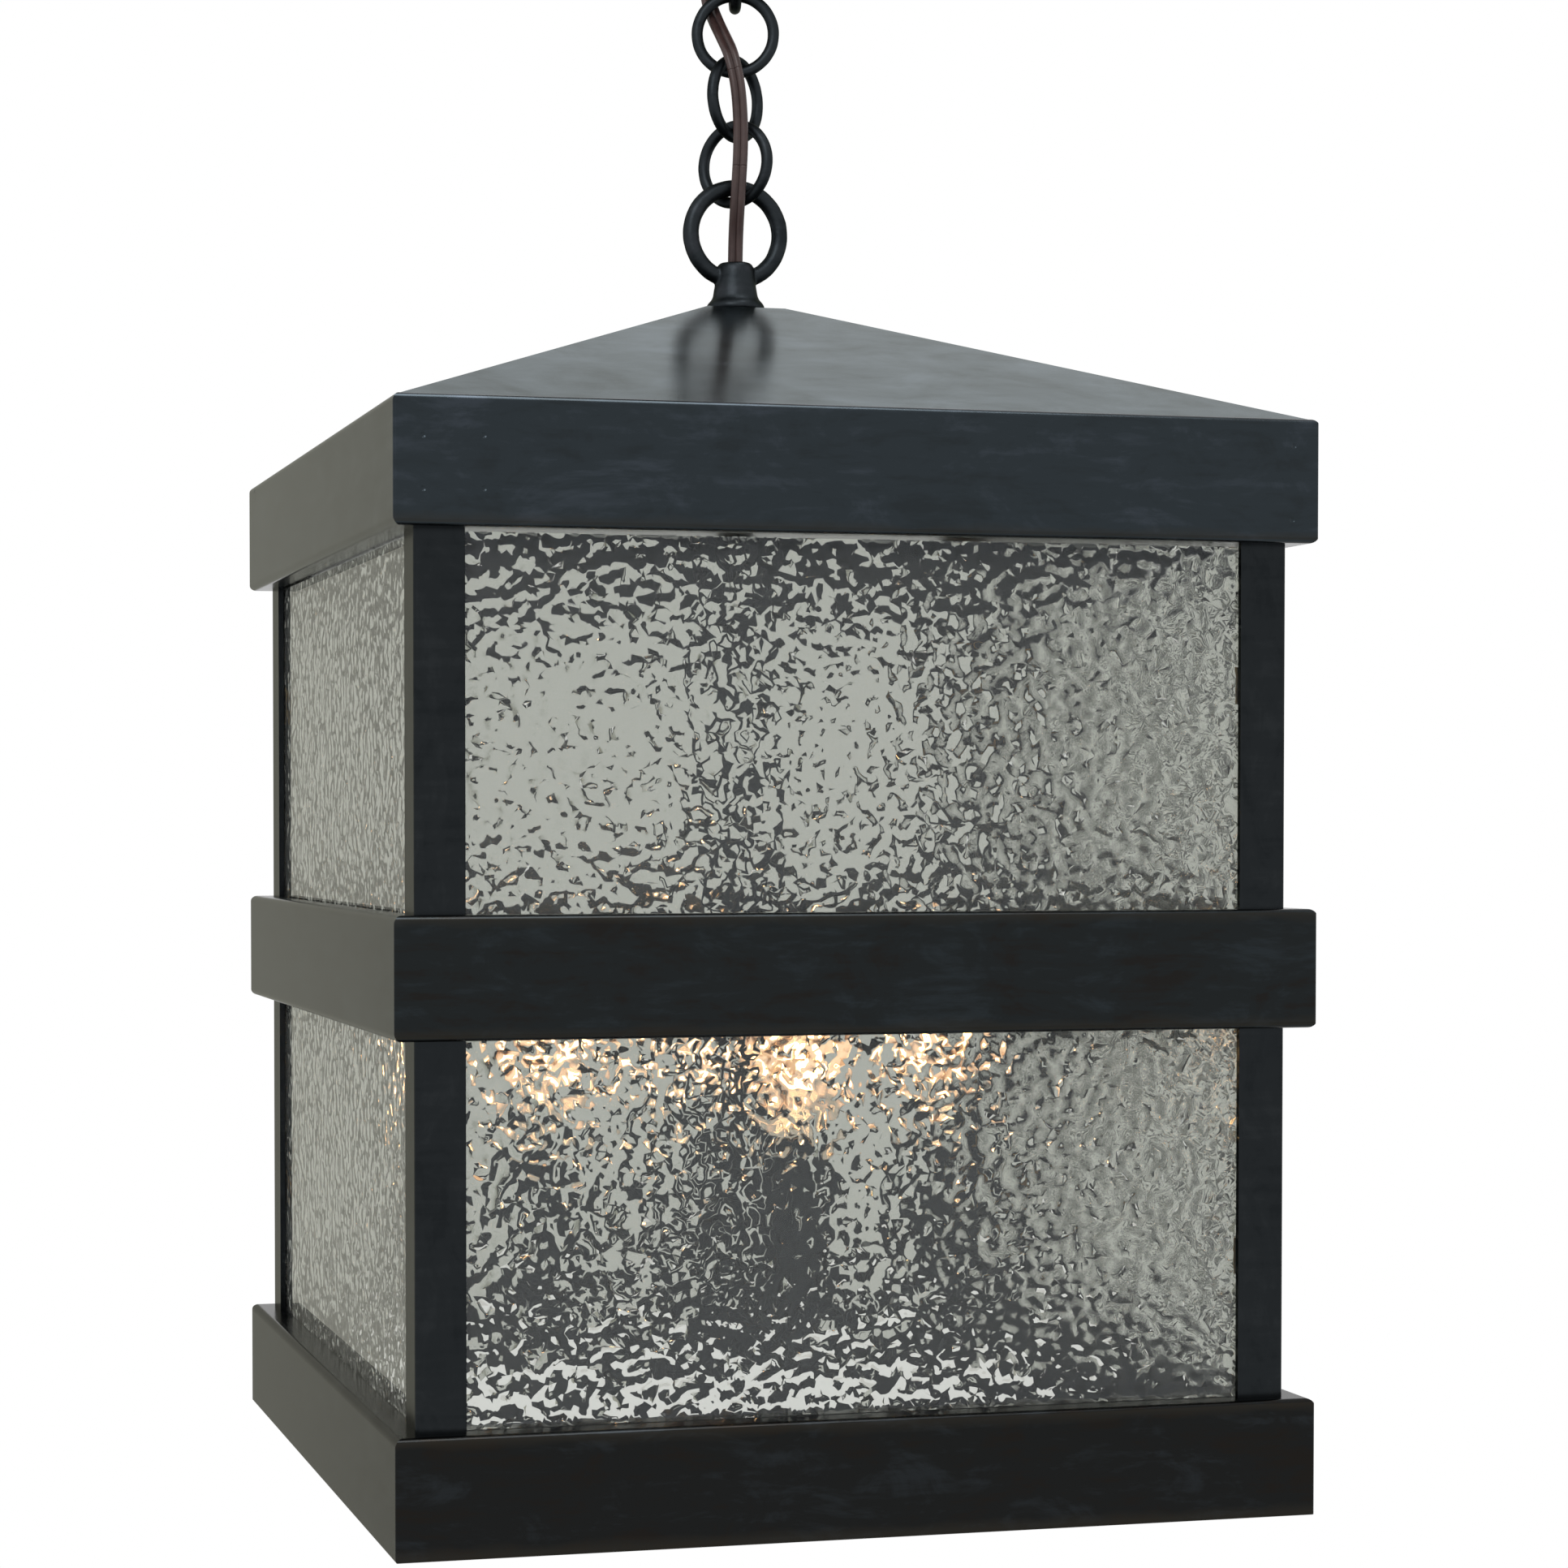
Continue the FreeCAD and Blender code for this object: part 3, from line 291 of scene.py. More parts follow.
def cast_loop(name, hub_levels, ring_level, body, node):
    """Cast a ring and its hub in one skin, soften it, and drill the cord's hole."""
    hub = turned(name, hub_levels, sides=72)
    bpy.ops.mesh.primitive_torus_add(
        major_radius=RING_RADIUS / 1000, minor_radius=RING_WIRE / 2000, major_segments=96,
        minor_segments=28, location=(0, 0, ring_level / 1000), rotation=(math.pi / 2, 0, 0))
    bpy.ops.object.transform_apply(location=True, rotation=True, scale=False)
    hub.select_set(True)
    bpy.context.view_layer.objects.active = hub
    bpy.ops.object.join()
    skin = hub.modifiers.new("skin", "REMESH")
    skin.mode = "VOXEL"
    skin.voxel_size = 0.0004
    bpy.ops.object.modifier_apply(modifier="skin")
    soft = hub.modifiers.new("soft", "SMOOTH")
    soft.factor = 0.5
    soft.iterations = 9
    bpy.ops.object.modifier_apply(modifier="soft")
    uneven = hub.modifiers.new("uneven", "DISPLACE")
    uneven.texture = mould_skin
    uneven.texture_coords = "LOCAL"
    uneven.strength = 0.00022
    bpy.ops.object.modifier_apply(modifier="uneven")
    low_level = min(height for radius, height in hub_levels)
    high_level = max(height for radius, height in hub_levels)
    bpy.ops.object.select_all(action="DESELECT")
    bpy.ops.mesh.primitive_cylinder_add(
        vertices=48, radius=CORD_HOLE / 2000, depth=(high_level - low_level + DRILL_OVERRUN) / 1000,
        location=(0, 0, (low_level + high_level) / 2000))
    drill = bpy.context.object
    hole = hub.modifiers.new("hole", "BOOLEAN")
    hole.object = drill
    hole.operation = "DIFFERENCE"
    bpy.context.view_layer.objects.active = hub
    bpy.ops.object.modifier_apply(modifier="hole")
    bpy.data.objects.remove(drill)
    bpy.ops.object.select_all(action="DESELECT")
    hub.select_set(True)
    bpy.ops.object.shade_smooth_by_angle(angle=math.radians(50))
    finish_piece(hub, cast_patina, body, "bronze", node)


cast_loop("cast_ceiling_loop", [
    (5.05, -14.8), (8.6, -14.8), (9.0, -15.2), (9.0, -30.8), (8.5, -32.2), (7.4, -34.2),
    (6.8, -35.4), (6.1, -36.4), (5.2, -37.0), (3.0, -37.0), (3.0, -24.8), (5.05, -24.8)],
    -47.3, "canopy", "ceiling_loop")
cast_loop("cast_lantern_loop", [
    (5.05, -193.8), (9.3, -193.8), (10.1, -193.4), (10.45, -192.5), (10.35, -191.6),
    (9.7, -190.6), (8.8, -189.7), (8.2, -188.7), (7.9, -187.6), (7.75, -186.4), (7.4, -184.4),
    (7.0, -181.6), (6.75, -179.2), (6.5, -177.8), (6.0, -176.8), (5.3, -176.3), (3.0, -176.3),
    (3.0, -183.8), (5.05, -183.8)],
    -166.0, "lantern", "lantern_loop")


# Chain: plain round links of brass wire, bent round and butted, each hung through the one above.
# The butt is brazed and filed, which leaves a faint swelling on one side.
LINK_RADIUS = 13.55
LINK_WIRE = 3.8
BUTT_ANGLE = 24
BUTT_HALF_WIDTH = 4
BUTT_SWELL = 0.00012
BUTT_TURN = 60
LINKS = ((4, -72.15, 76.0), (3, -95.15, -13.9), (2, -118.15, 37.8), (1, -141.15, -50.4))
bpy.ops.object.select_all(action="DESELECT")
bpy.ops.mesh.primitive_torus_add(major_radius=LINK_RADIUS / 1000, minor_radius=LINK_WIRE / 2000,
                                 major_segments=120, minor_segments=24)
first_link = bpy.context.object
for vertex in first_link.data.vertices:
    turn = math.degrees(math.atan2(vertex.co.y, vertex.co.x))
    vertex.select = abs(turn - BUTT_ANGLE) < BUTT_HALF_WIDTH
bpy.ops.object.mode_set(mode="EDIT")
bpy.ops.transform.shrink_fatten(value=BUTT_SWELL)
bpy.ops.object.mode_set(mode="OBJECT")
uneven = first_link.modifiers.new("uneven", "DISPLACE")
uneven.texture = mould_skin
uneven.texture_coords = "LOCAL"
uneven.strength = 0.00016
bpy.ops.object.modifier_apply(modifier="uneven")
bpy.ops.object.shade_smooth()
for number, level, turn in LINKS:
    link = bpy.data.objects.new(f"round_link_{number}", first_link.data.copy())
    bpy.context.collection.objects.link(link)
    link.data.transform(Matrix.Translation((0, 0, level / 1000))
                        @ Matrix.Rotation(math.radians(turn), 4, "Z")
                        @ Matrix.Rotation(math.pi / 2, 4, "X")
                        @ Matrix.Rotation(math.radians(BUTT_TURN * number), 4, "Z"))
    finish_piece(link, cast_patina, f"link_{number}", "bronze", f"chain_link_{number}")
bpy.data.objects.remove(first_link)


# Lamp cord: two stranded cores in one flat brown sheath, pressed together with a groove between.
# It leaves the lantern's hub, is threaded through the links and goes into the ceiling loop.
CORD_ROUTE = [
    (0, 0, -178.3), (0, 0, -176.3), (-0.3, -1.7, -166.8), (-1.0, -6.1, -156.8),
    (-0.9, -7.9, -147.8), (-0.6, -8.8, -138.3), (-0.8, -9.7, -127.8), (-2.1, -10.8, -115.3),
    (-4.1, -9.3, -104.3), (-5.4, -2.6, -96.4), (-6.2, 4.1, -89.6), (-7.6, 9.0, -81.5),
    (-8.0, 10.4, -70.5), (-6.6, 8.2, -58.8), (-2.5, 3.1, -47.3), (0, 0, -37.0), (0, 0, -35.0)]
CORD_WIDTH = 0.0054
CORD_THICKNESS = 0.0028
CORD_BREAKS = (-0.14305, -0.1098, -0.0760)
CORD_TUCK = 8
TUCKED_SIZE = 0.86
WEB_SHARE = 0.4
LOBE_STEPS = 12
ROWS_TO_A_UV = 10
CORD_FACE_TURN = math.radians(-34)
CORD_BROAD = Vector((math.cos(CORD_FACE_TURN), math.sin(CORD_FACE_TURN), 0))
STRETCHES = ((1, "lantern", "link_1", 0), (2, "link_1", "link_2", CORD_TUCK),
             (3, "link_3", "link_4", 0), (4, "link_4", "canopy", 0))

route_data = bpy.data.curves.new("cord_route", "CURVE")
route_data.dimensions = "3D"
route_data.resolution_u = 24
spline = route_data.splines.new("NURBS")
spline.points.add(len(CORD_ROUTE) - 1)
for point, (x, y, z) in zip(spline.points, CORD_ROUTE):
    point.co = (x / 1000, y / 1000, z / 1000, 1)
spline.order_u = 3
spline.use_endpoint_u = True
route_object = bpy.data.objects.new("cord_route", route_data)
bpy.context.collection.objects.link(route_object)
bpy.context.view_layer.update()
route_mesh = bpy.data.meshes.new_from_object(route_object)
cord_line = [vertex.co.copy() for vertex in route_mesh.vertices]
bpy.data.objects.remove(route_object)
bpy.data.meshes.remove(route_mesh)

pvc, tree, shader, place = new_material("brown_pvc_sheath")
along = add(tree, "ShaderNodeTexCoord").outputs["UV"]
haze = add(tree, "ShaderNodeTexNoise", {"Vector": place, "Scale": 1 / 0.004, "Detail": 4})
tones = add(tree, "ShaderNodeValToRGB", {"Fac": haze.outputs["Fac"]},
            stops=[(0.3, "#382725"), (0.7, "#463330")])
around = add(tree, "ShaderNodeSeparateXYZ", {"Vector": along}).outputs["X"]
# The sheath is darkened towards #150D0C along the groove between the lobes: painted shade in the
# groove.
groove = add(tree, "ShaderNodeMath", {0: around, 1: 0.25}, operation="PINGPONG").outputs[0]
groove_painted_shade = add(tree, "ShaderNodeMapRange", {"Value": groove, "From Min": 0.01, "From Max": 0.05,
                                         "To Min": 0.75, "To Max": 0})
sheath = add(tree, "ShaderNodeMix", {"Factor": groove_painted_shade.outputs["Result"], 6: tones.outputs["Color"],
                                     7: linear("#150D0C")}, data_type="RGBA")
tree.links.new(sheath.outputs[2], shader.inputs["Base Color"])
drawn = add(tree, "ShaderNodeMapping", {"Vector": along, "Scale": (40, 2, 1)}).outputs["Vector"]
draw_marks = add(tree, "ShaderNodeTexNoise", {"Vector": drawn, "Scale": 1, "Detail": 3})
bump = add(tree, "ShaderNodeBump", {"Height": draw_marks.outputs["Fac"], "Strength": 0.15,
                                    "Distance": 0.0002})
tree.links.new(bump.outputs["Normal"], shader.inputs["Normal"])
shader.inputs["Roughness"].default_value = 0.42


def cord_outline(shrink):
    """The twin sheath's section: two round lobes with a groove along both faces between them."""
    lobe = CORD_THICKNESS / 2 * shrink
    reach = (CORD_WIDTH - CORD_THICKNESS) / 2 * shrink
    lean = math.asin(WEB_SHARE)
    points = []
    for side in (1, -1):
        for step in range(LOBE_STEPS + 1):
            turn = (math.pi - lean) * (2 * step / LOBE_STEPS - 1)
            points.append((side * (reach + lobe * math.cos(turn)), side * lobe * math.sin(turn)))
    return points


def cord_tube(name, first, last, tucked):
    """A mesh tube of the twin section along part of the cord's line, its last few tucked in thinner."""
    corners, faces = [], []
    for i in range(first, last + 1):
        section = cord_outline(TUCKED_SIZE if i > last - tucked else 1.0)
        heading = (cord_line[min(i + 1, len(cord_line) - 1)] - cord_line[max(i - 1, 0)]).normalized()
        broad = (CORD_BROAD - heading * CORD_BROAD.dot(heading)).normalized()
        thin = heading.cross(broad)
        corners += [cord_line[i] + broad * a + thin * b for a, b in section]
    count = len(section)
    for i in range(last - first):
        for j in range(count):
            k = (j + 1) % count
            faces.append((i * count + j, i * count + k, (i + 1) * count + k, (i + 1) * count + j))
    faces.append(tuple(reversed(range(count))))
    faces.append(tuple(range((last - first) * count, (last - first + 1) * count)))
    mesh = bpy.data.meshes.new(name)
    mesh.from_pydata(corners, [], faces)
    uv = mesh.uv_layers.new(name="UVMap")
    for face in mesh.polygons:
        face.use_smooth = len(face.vertices) == 4
        for loop in face.loop_indices:
            row, column = divmod(mesh.loops[loop].vertex_index, count)
            uv.data[loop].uv = (column / count, row / ROWS_TO_A_UV)
    mesh.materials.append(pvc)
    piece = bpy.data.objects.new(name, mesh)
    bpy.context.collection.objects.link(piece)
    return piece


cord_ends = [0] + [min(range(len(cord_line)), key=lambda i: abs(cord_line[i].z - level))
                   for level in CORD_BREAKS] + [len(cord_line) - 1]
for number, below, above, tucked in STRETCHES:
    first, last = cord_ends[number - 1], cord_ends[number] + tucked
    stretch = cord_tube(f"lamp_cord_{number}_sheath", first, last, tucked)
    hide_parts(f"lamp_cord_{number}")
    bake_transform(stretch)


# Roof: one sheet cut and folded into a four-sided pyramid, its hips soldered from inside.
# The flat at its top takes the hub, and its foot sits on the cap band's upper flange.
# The bluish tint of the roof's sheens is a painted reflection of a blue sky.
roof_patina = patina("patinated_brass_roof", ("#2B2E2F", "#2F3436", "#363C41"),
                     ("#D8DDDD", "#F2F9FC"), 0.21, 40, (1, 1, 1))
dress(roof_patina, "roof_pyramid")


# Bands: three rings of sheet folded to a channel and mitred, proud of the posts and panes.
# The cap band has the lightest tones and sheens and the base band the darkest: painted light, lighter
# towards the top. The patina is browner along the folds. Spot welds dimple the cap's face.
FRONT = -152.5
WELDS = [(-143.4, FRONT, -257.8), (-124.5, FRONT, -257.4), (-143.4, FRONT, -274.0),
         (-124.5, FRONT, -273.6), (143.5, FRONT, -253.9), (143.0, FRONT, -277.8),
         (FRONT, 136.9, -247.5)]
# Cap band: the lightest tones and sheens, painted light.
cap_patina = patina("patinated_brass_cap", ("#2A2F32", "#2D3337", "#363C42"),
                    ("#F0F0F0", "#FFFFFF"), 0.23, 30, (1, 1, 2.2), (-285.0,), WELDS)
dress(cap_patina, "cap_band")
# Middle band: darker tones and sheens than the cap, painted shade.
middle_patina = patina("patinated_brass_middle", ("#222120", "#222526", "#282D30"),
                       ("#E6E6E6", "#F4F4F4"), 0.23, 28, (1, 1, 2.2), (-403.7, -442.4))
dress(middle_patina, "middle_band")
# Base band: the darkest tones and sheens, painted shade.
base_patina = patina("patinated_brass_base", ("#201E1C", "#1E1F1F", "#25282A"),
                     ("#D8D8D8", "#E6E6E6"), 0.23, 28, (1, 1, 2.2), (-563.7, -601.8))
dress(base_patina, "base_band")


# Corner posts: sheet brass folded to an angle, one to each corner, and patinated with the bands.
# They stand on the base band's flange and carry the cap band.
post_patina = patina("patinated_brass_posts", ("#1F2224", "#232628", "#282B2D"),
                     ("#D2D2D0", "#E0E0DE"), 0.23, 24, (2.2, 2.2, 1))
dress(post_patina, "corner_post_front_left", "corner_post_front_right", "corner_post_back_right",
      "corner_post_back_left")


# Panes: faintly grey rolled glass, one tall sheet to each side, clipped behind the posts' legs.
# Each is flat outside and hammered inside, in small dents and swells that act as lenses, so that
# each shows its own piece of what is behind.
PANE_THICKNESS = 0.003
DENT_WIDTH = 0.00198
DENT_RISE = 0.0014
DENT_STRAY = 0.0013
HAMMER_DEPTH = 0.0006
EDGE_MARGIN = 1e-5
RIM_ANGLE = 60
FIRST_SEED = 3
DEPTH_SEED = 20
hammered, tree, shader, place = new_material("hammered_glass")
shader.inputs["Base Color"].default_value = linear("#D4D6D1")
shader.inputs["Transmission Weight"].default_value = 0.95
shader.inputs["IOR"].default_value = 1.52
shader.inputs["Specular Tint"].default_value = linear("#9AA0AC")
seeds = add(tree, "ShaderNodeTexNoise", {"Vector": place, "Scale": 1 / 0.02, "Detail": 3})
rough = add(tree, "ShaderNodeMapRange", {"Value": seeds.outputs["Fac"], "To Min": 0.0,
                                         "To Max": 0.02})
tree.links.new(rough.outputs["Result"], shader.inputs["Roughness"])

low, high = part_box("glass_front")
pane_width, pane_height = high.x - low.x, high.z - low.z
rows = round(pane_height / DENT_RISE)


def select_inner(pane, every_row=True):
    """Select only the points of a pane that lie off its edges, in every row or every other one."""
    bpy.ops.mesh.select_all(action="DESELECT")
    bpy.ops.object.mode_set(mode="OBJECT")
    for point in pane.data.vertices:
        is_inner = (abs(point.co.x) < pane_width / 2 - EDGE_MARGIN
                    and abs(point.co.y) < pane_height / 2 - EDGE_MARGIN)
        row = round((point.co.y / pane_height + 0.5) * rows)
        point.select = is_inner and (every_row or row % 2 == 1)
    bpy.ops.object.mode_set(mode="EDIT")


def hammered_pane(name, seed):
    """A pane lying flat, its hammered side up round the origin's level, its back flat below."""
    bpy.ops.object.select_all(action="DESELECT")
    bpy.ops.mesh.primitive_grid_add(x_subdivisions=round(pane_width / DENT_WIDTH),
                                    y_subdivisions=rows, size=1)
    pane = bpy.context.object
    pane.name = name
    pane.scale = (pane_width, pane_height, 1)
    bpy.ops.object.transform_apply(location=False, rotation=False, scale=True)
    bpy.ops.object.mode_set(mode="EDIT")
    bpy.ops.mesh.select_mode(type="VERT")
    select_inner(pane, every_row=False)
    bpy.ops.transform.translate(value=(DENT_WIDTH / 2, 0, 0))
    select_inner(pane)
    bpy.ops.transform.vertex_random(offset=DENT_STRAY, uniform=0.3, seed=seed)
    bpy.ops.transform.resize(value=(1, 1, 0), center_override=(0, 0, 0))
    bpy.ops.mesh.select_all(action="SELECT")
    bpy.ops.mesh.quads_convert_to_tris(quad_method="SHORTEST_DIAGONAL")
    bpy.ops.mesh.beautify_fill(angle_limit=math.pi)
    select_inner(pane)
    bpy.ops.transform.vertex_random(offset=HAMMER_DEPTH, uniform=0.5, normal=1,
                                    seed=seed + DEPTH_SEED)
    bpy.ops.mesh.select_all(action="SELECT")
    bpy.ops.mesh.region_to_loop()
    bpy.ops.mesh.extrude_edges_move(TRANSFORM_OT_translate={
        "value": (0, 0, HAMMER_DEPTH - PANE_THICKNESS)})
    bpy.ops.mesh.edge_face_add()
    bpy.ops.mesh.select_all(action="SELECT")
    bpy.ops.mesh.normals_make_consistent(inside=False)
    bpy.ops.object.mode_set(mode="OBJECT")
    bpy.ops.object.shade_smooth_by_angle(angle=math.radians(RIM_ANGLE))
    return pane


for number, side in enumerate(("front", "right", "back", "left")):
    pane = hammered_pane(f"hammered_pane_{side}", FIRST_SEED + number)
    stand = (Matrix.Translation((0, high.y - HAMMER_DEPTH, (low.z + high.z) / 2))
             @ Matrix.Rotation(math.radians(-90), 4, "X"))
    pane.data.transform(Matrix.Rotation(math.radians(90 * number), 4, "Z") @ stand)
    finish_piece(pane, hammered, "lantern", "pebbled_glass", f"glass_{side}")


# Clips: short springy strips of bare brass, with a fine grain from rolling.
# They are soldered into the posts and press each pane outwards against the posts' legs.
mill_brass, tree, shader, place = new_material("mill_finish_brass")
rolled = add(tree, "ShaderNodeMapping", {"Vector": place, "Scale": (1, 1, 0.15)}).outputs["Vector"]
grain = add(tree, "ShaderNodeTexNoise", {"Vector": rolled, "Scale": 1 / 0.0012, "Detail": 4})
tones = add(tree, "ShaderNodeValToRGB", {"Fac": grain.outputs["Fac"]},
            stops=[(0.3, "#8A6F42"), (0.7, "#A78A58")])
tree.links.new(tones.outputs["Color"], shader.inputs["Base Color"])
shader.inputs["Metallic"].default_value = 1
shader.inputs["Roughness"].default_value = 0.38
dress(mill_brass, "glass_clips")


# Stem and candle cluster: a tube over the pipe, a turned body and cap, bent arms, spun pans and
# candle sleeves. All are brass with the patina of the castings.
dress(cast_patina, "stem_tube", "cluster_body", "cluster_cap", "candle_arm_1", "candle_arm_2",
      "candle_arm_3", "candle_arm_4", "drip_pans", "candle_sleeve_1", "candle_sleeve_2",
      "candle_sleeve_3", "candle_sleeve_4")


# Lamp holders: moulded black phenolic, with faint flow marks from the mould.
# One stands on each arm's end, hidden in its sleeve.
phenolic, tree, shader, place = new_material("black_phenolic")
flow = add(tree, "ShaderNodeTexNoise", {"Vector": place, "Scale": 1 / 0.005, "Detail": 4})
tones = add(tree, "ShaderNodeValToRGB", {"Fac": flow.outputs["Fac"]},
            stops=[(0.3, "#191716"), (0.7, "#242120")])
tree.links.new(tones.outputs["Color"], shader.inputs["Base Color"])
shader.inputs["Roughness"].default_value = 0.35
dress(phenolic, "lamp_holder_1", "lamp_holder_2", "lamp_holder_3", "lamp_holder_4")


# Lamps: clear torpedo envelopes with a nickelled screw base, and a white-hot coil between two
# support wires. A little of its light hangs in the envelope, which fades to clear at its ends.
GLOW_LEVEL = -0.4558
CANDLE_REACH = 0.072
nickel, tree, shader, place = new_material("nickelled_brass")
grain = add(tree, "ShaderNodeTexNoise", {"Vector": place, "Scale": 1 / 0.002, "Detail": 3})
tones = add(tree, "ShaderNodeValToRGB", {"Fac": grain.outputs["Fac"]},
            stops=[(0.3, "#B9AE97"), (0.7, "#D2C8B0")])
tree.links.new(tones.outputs["Color"], shader.inputs["Base Color"])
shader.inputs["Metallic"].default_value = 1
shader.inputs["Roughness"].default_value = 0.3
dress(nickel, "lamp_base_1", "lamp_base_2", "lamp_base_3", "lamp_base_4")

lit_glass, tree, shader, place = new_material("lit_lamp_glass")
height = add(tree, "ShaderNodeSeparateXYZ", {"Vector": place}).outputs["Z"]
gap = add(tree, "ShaderNodeMath", {0: height, 1: GLOW_LEVEL}, operation="SUBTRACT").outputs[0]
gap = add(tree, "ShaderNodeMath", {0: gap}, operation="ABSOLUTE").outputs[0]
glow = add(tree, "ShaderNodeMapRange", {"Value": gap, "From Min": 0.003, "From Max": 0.018,
                                        "To Min": 0.3, "To Max": 0.0},
           interpolation_type="SMOOTHSTEP")
tree.links.new(glow.outputs["Result"], shader.inputs["Emission Strength"])
tones = add(tree, "ShaderNodeValToRGB", {"Fac": gap},
            stops=[(0.0, "#FFD2A0"), (0.018, "#FF9A4A")])
tree.links.new(tones.outputs["Color"], shader.inputs["Emission Color"])
shader.inputs["Transmission Weight"].default_value = 1
shader.inputs["Base Color"].default_value = linear("#FFF8F0")
shader.inputs["Roughness"].default_value = 0.05
dress(lit_glass, "lamp_glass_1", "lamp_glass_2", "lamp_glass_3", "lamp_glass_4")

hot_wire, tree, shader, place = new_material("hot_tungsten")
heat = add(tree, "ShaderNodeTexNoise", {"Vector": place, "Scale": 1 / 0.002, "Detail": 2})
tones = add(tree, "ShaderNodeValToRGB", {"Fac": heat.outputs["Fac"]},
            stops=[(0.3, "#FFB35C"), (0.7, "#FFDCA8")])
tree.links.new(tones.outputs["Color"], shader.inputs["Emission Color"])
shader.inputs["Emission Strength"].default_value = 14
COIL_RADIUS = 0.0052
COIL_WIRE = 0.0011
COIL_PITCH = 0.0017
COIL_TURNS = 8
COIL_SIDES = 8
COIL_STEPS = 20
bpy.ops.object.select_all(action="DESELECT")
bpy.ops.mesh.primitive_circle_add(vertices=COIL_SIDES, radius=COIL_WIRE / 2,
                                  location=(COIL_RADIUS, 0, 0), rotation=(math.pi / 2, 0, 0))
first_coil = bpy.context.object
bpy.ops.object.transform_apply(location=True, rotation=True, scale=False)
wound = first_coil.modifiers.new("wound", "SCREW")
wound.screw_offset = COIL_PITCH
wound.iterations = COIL_TURNS
wound.steps = COIL_STEPS
wound.render_steps = COIL_STEPS
wound.use_merge_vertices = True
bpy.ops.object.modifier_apply(modifier="wound")
bpy.ops.object.mode_set(mode="EDIT")
bpy.ops.mesh.select_all(action="SELECT")
bpy.ops.mesh.fill_holes(sides=COIL_SIDES)
bpy.ops.mesh.normals_make_consistent(inside=False)
bpy.ops.object.mode_set(mode="OBJECT")
bpy.ops.object.shade_smooth()
for number in (1, 2, 3, 4):
    coil = bpy.data.objects.new(f"hot_coil_{number}", first_coil.data.copy())
    bpy.context.collection.objects.link(coil)
    turn = math.radians(90 * (number - 1))
    coil.data.transform(Matrix.Translation((
        CANDLE_REACH * math.cos(turn), CANDLE_REACH * math.sin(turn),
        GLOW_LEVEL - COIL_PITCH * COIL_TURNS / 2)))
    finish_piece(coil, hot_wire, f"lamp_{number}", "lamp_wire", f"lamp_filament_{number}")
bpy.data.objects.remove(first_coil)


# Stage: a pale floor well below the lantern and an even white room round it. Camera, mirror and
# glass rays see the white itself, and the room's light stays plain. A grey screen stands behind on
# the left, which the camera does not see: it is what the left faces and the left pane mirror.
FLOOR_LEVEL = -1.5
FLOOR_RADIUS = 2.4
SCREEN_PLACE = (-0.66, 1.41, -0.4)
SCREEN_TURN = math.radians(20)
SCREEN_SIZE = (1.3, 1.3, 2.2)
ROOM_LIGHT = 0.55
LAMP_TARGET = Vector((0, 0, -0.35))
LAMPS = (("key_lamp", (-1.6, -2.4, 1.6), 1.6, 40, True), ("top_lamp", (0.3, -0.5, 2.2), 1.2, 35, True),
         ("back_lamp", (1.8, 2.2, 0.9), 1.4, 25, False))
bpy.ops.object.select_all(action="DESELECT")
bpy.ops.mesh.primitive_circle_add(vertices=64, radius=FLOOR_RADIUS, fill_type="NGON",
                                  location=(0, 0, FLOOR_LEVEL))
floor = bpy.context.object
floor.name = "floor"
pale, tree, shader, place = new_material("pale_floor")
speck = add(tree, "ShaderNodeTexNoise", {"Vector": place, "Scale": 4, "Detail": 2})
tones = add(tree, "ShaderNodeValToRGB", {"Fac": speck.outputs["Fac"]},
            stops=[(0.3, "#EFEEEB"), (0.7, "#F3F2EF")])
tree.links.new(tones.outputs["Color"], shader.inputs["Base Color"])
shader.inputs["Roughness"].default_value = 0.9
floor.data.materials.append(pale)

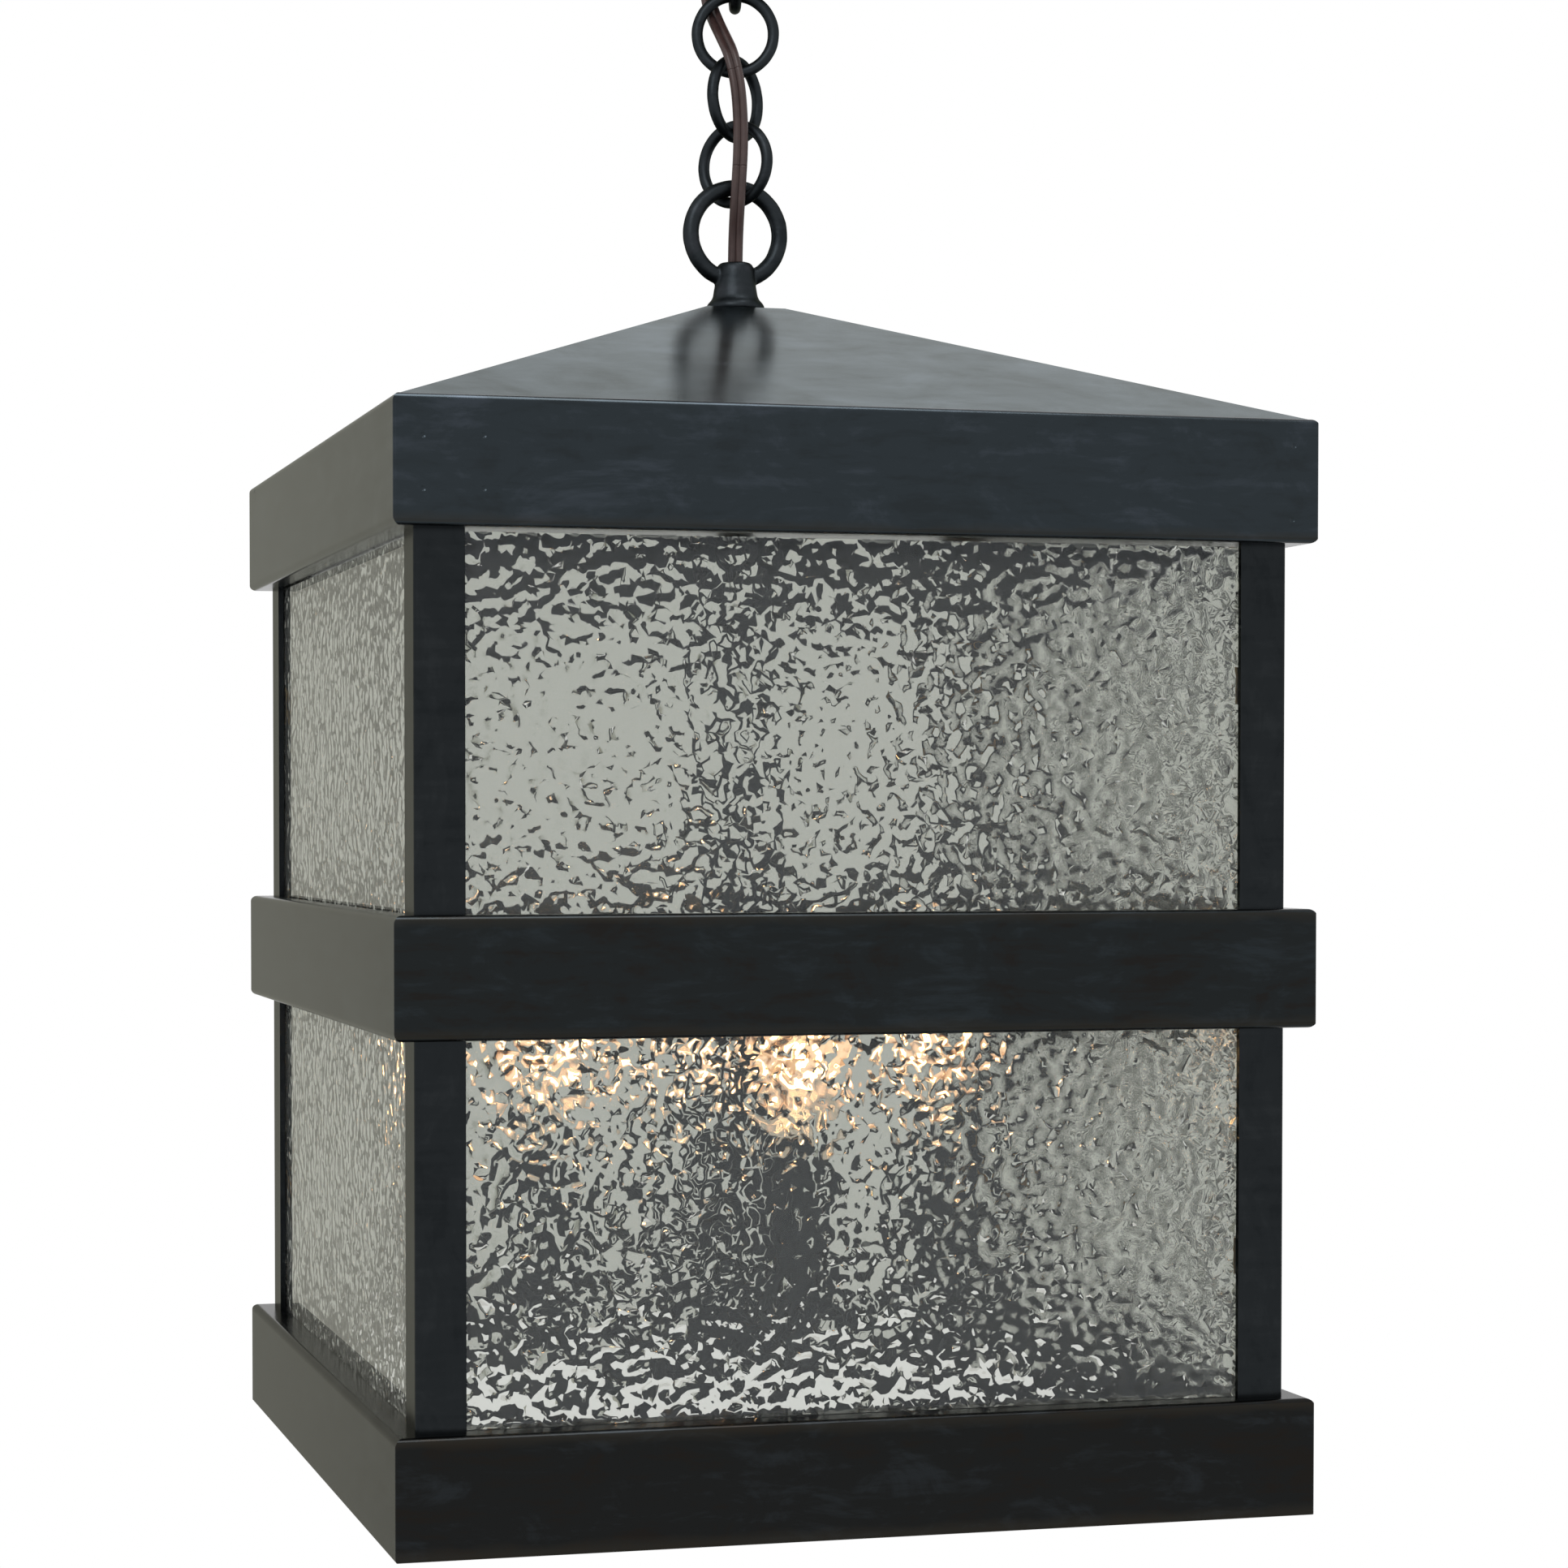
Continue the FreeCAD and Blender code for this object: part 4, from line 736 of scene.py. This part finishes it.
bpy.ops.object.select_all(action="DESELECT")
bpy.ops.mesh.primitive_plane_add(size=1, location=SCREEN_PLACE,
                                 rotation=(math.pi / 2, 0, SCREEN_TURN))
screen = bpy.context.object
screen.name = "side_screen"
bpy.ops.transform.resize(value=SCREEN_SIZE)
shade, tree, shader, place = new_material("stone_grey_screen")
weave = add(tree, "ShaderNodeTexNoise", {"Vector": place, "Scale": 6, "Detail": 2})
tones = add(tree, "ShaderNodeValToRGB", {"Fac": weave.outputs["Fac"]},
            stops=[(0.3, "#ABAB9F"), (0.7, "#AFAFA3")])
tree.links.new(tones.outputs["Color"], shader.inputs["Emission Color"])
shader.inputs["Emission Strength"].default_value = 1
shader.inputs["Base Color"].default_value = linear("#000000")
shader.inputs["Specular IOR Level"].default_value = 0
screen.data.materials.append(shade)
screen.visible_camera = False
screen.visible_diffuse = False
screen.visible_shadow = False

world = bpy.data.worlds.new("white_room")
bpy.context.scene.world = world
world.use_nodes = True
tree = world.node_tree
rays = add(tree, "ShaderNodeLightPath")
seen = add(tree, "ShaderNodeMath", {0: rays.outputs["Is Camera Ray"],
                                    1: rays.outputs["Is Glossy Ray"]}, operation="MAXIMUM")
seen = add(tree, "ShaderNodeMath", {0: seen.outputs[0], 1: rays.outputs["Is Transmission Ray"]},
           operation="MAXIMUM")
level = add(tree, "ShaderNodeMapRange", {"Value": seen.outputs[0], "To Min": ROOM_LIGHT, "To Max": 1})
background = tree.nodes["Background"]
background.inputs["Color"].default_value = (1, 1, 1, 1)
tree.links.new(level.outputs["Result"], background.inputs["Strength"])

for name, spot, size, power, mirrored in LAMPS:
    lamp_data = bpy.data.lights.new(name, "AREA")
    lamp_data.size = size
    lamp_data.energy = power
    lamp = bpy.data.objects.new(name, lamp_data)
    bpy.context.collection.objects.link(lamp)
    lamp.location = spot
    lamp.visible_glossy = mirrored
    lamp.visible_transmission = False
    lamp.rotation_euler = (LAMP_TARGET - Vector(spot)).to_track_quat("-Z", "Y").to_euler()
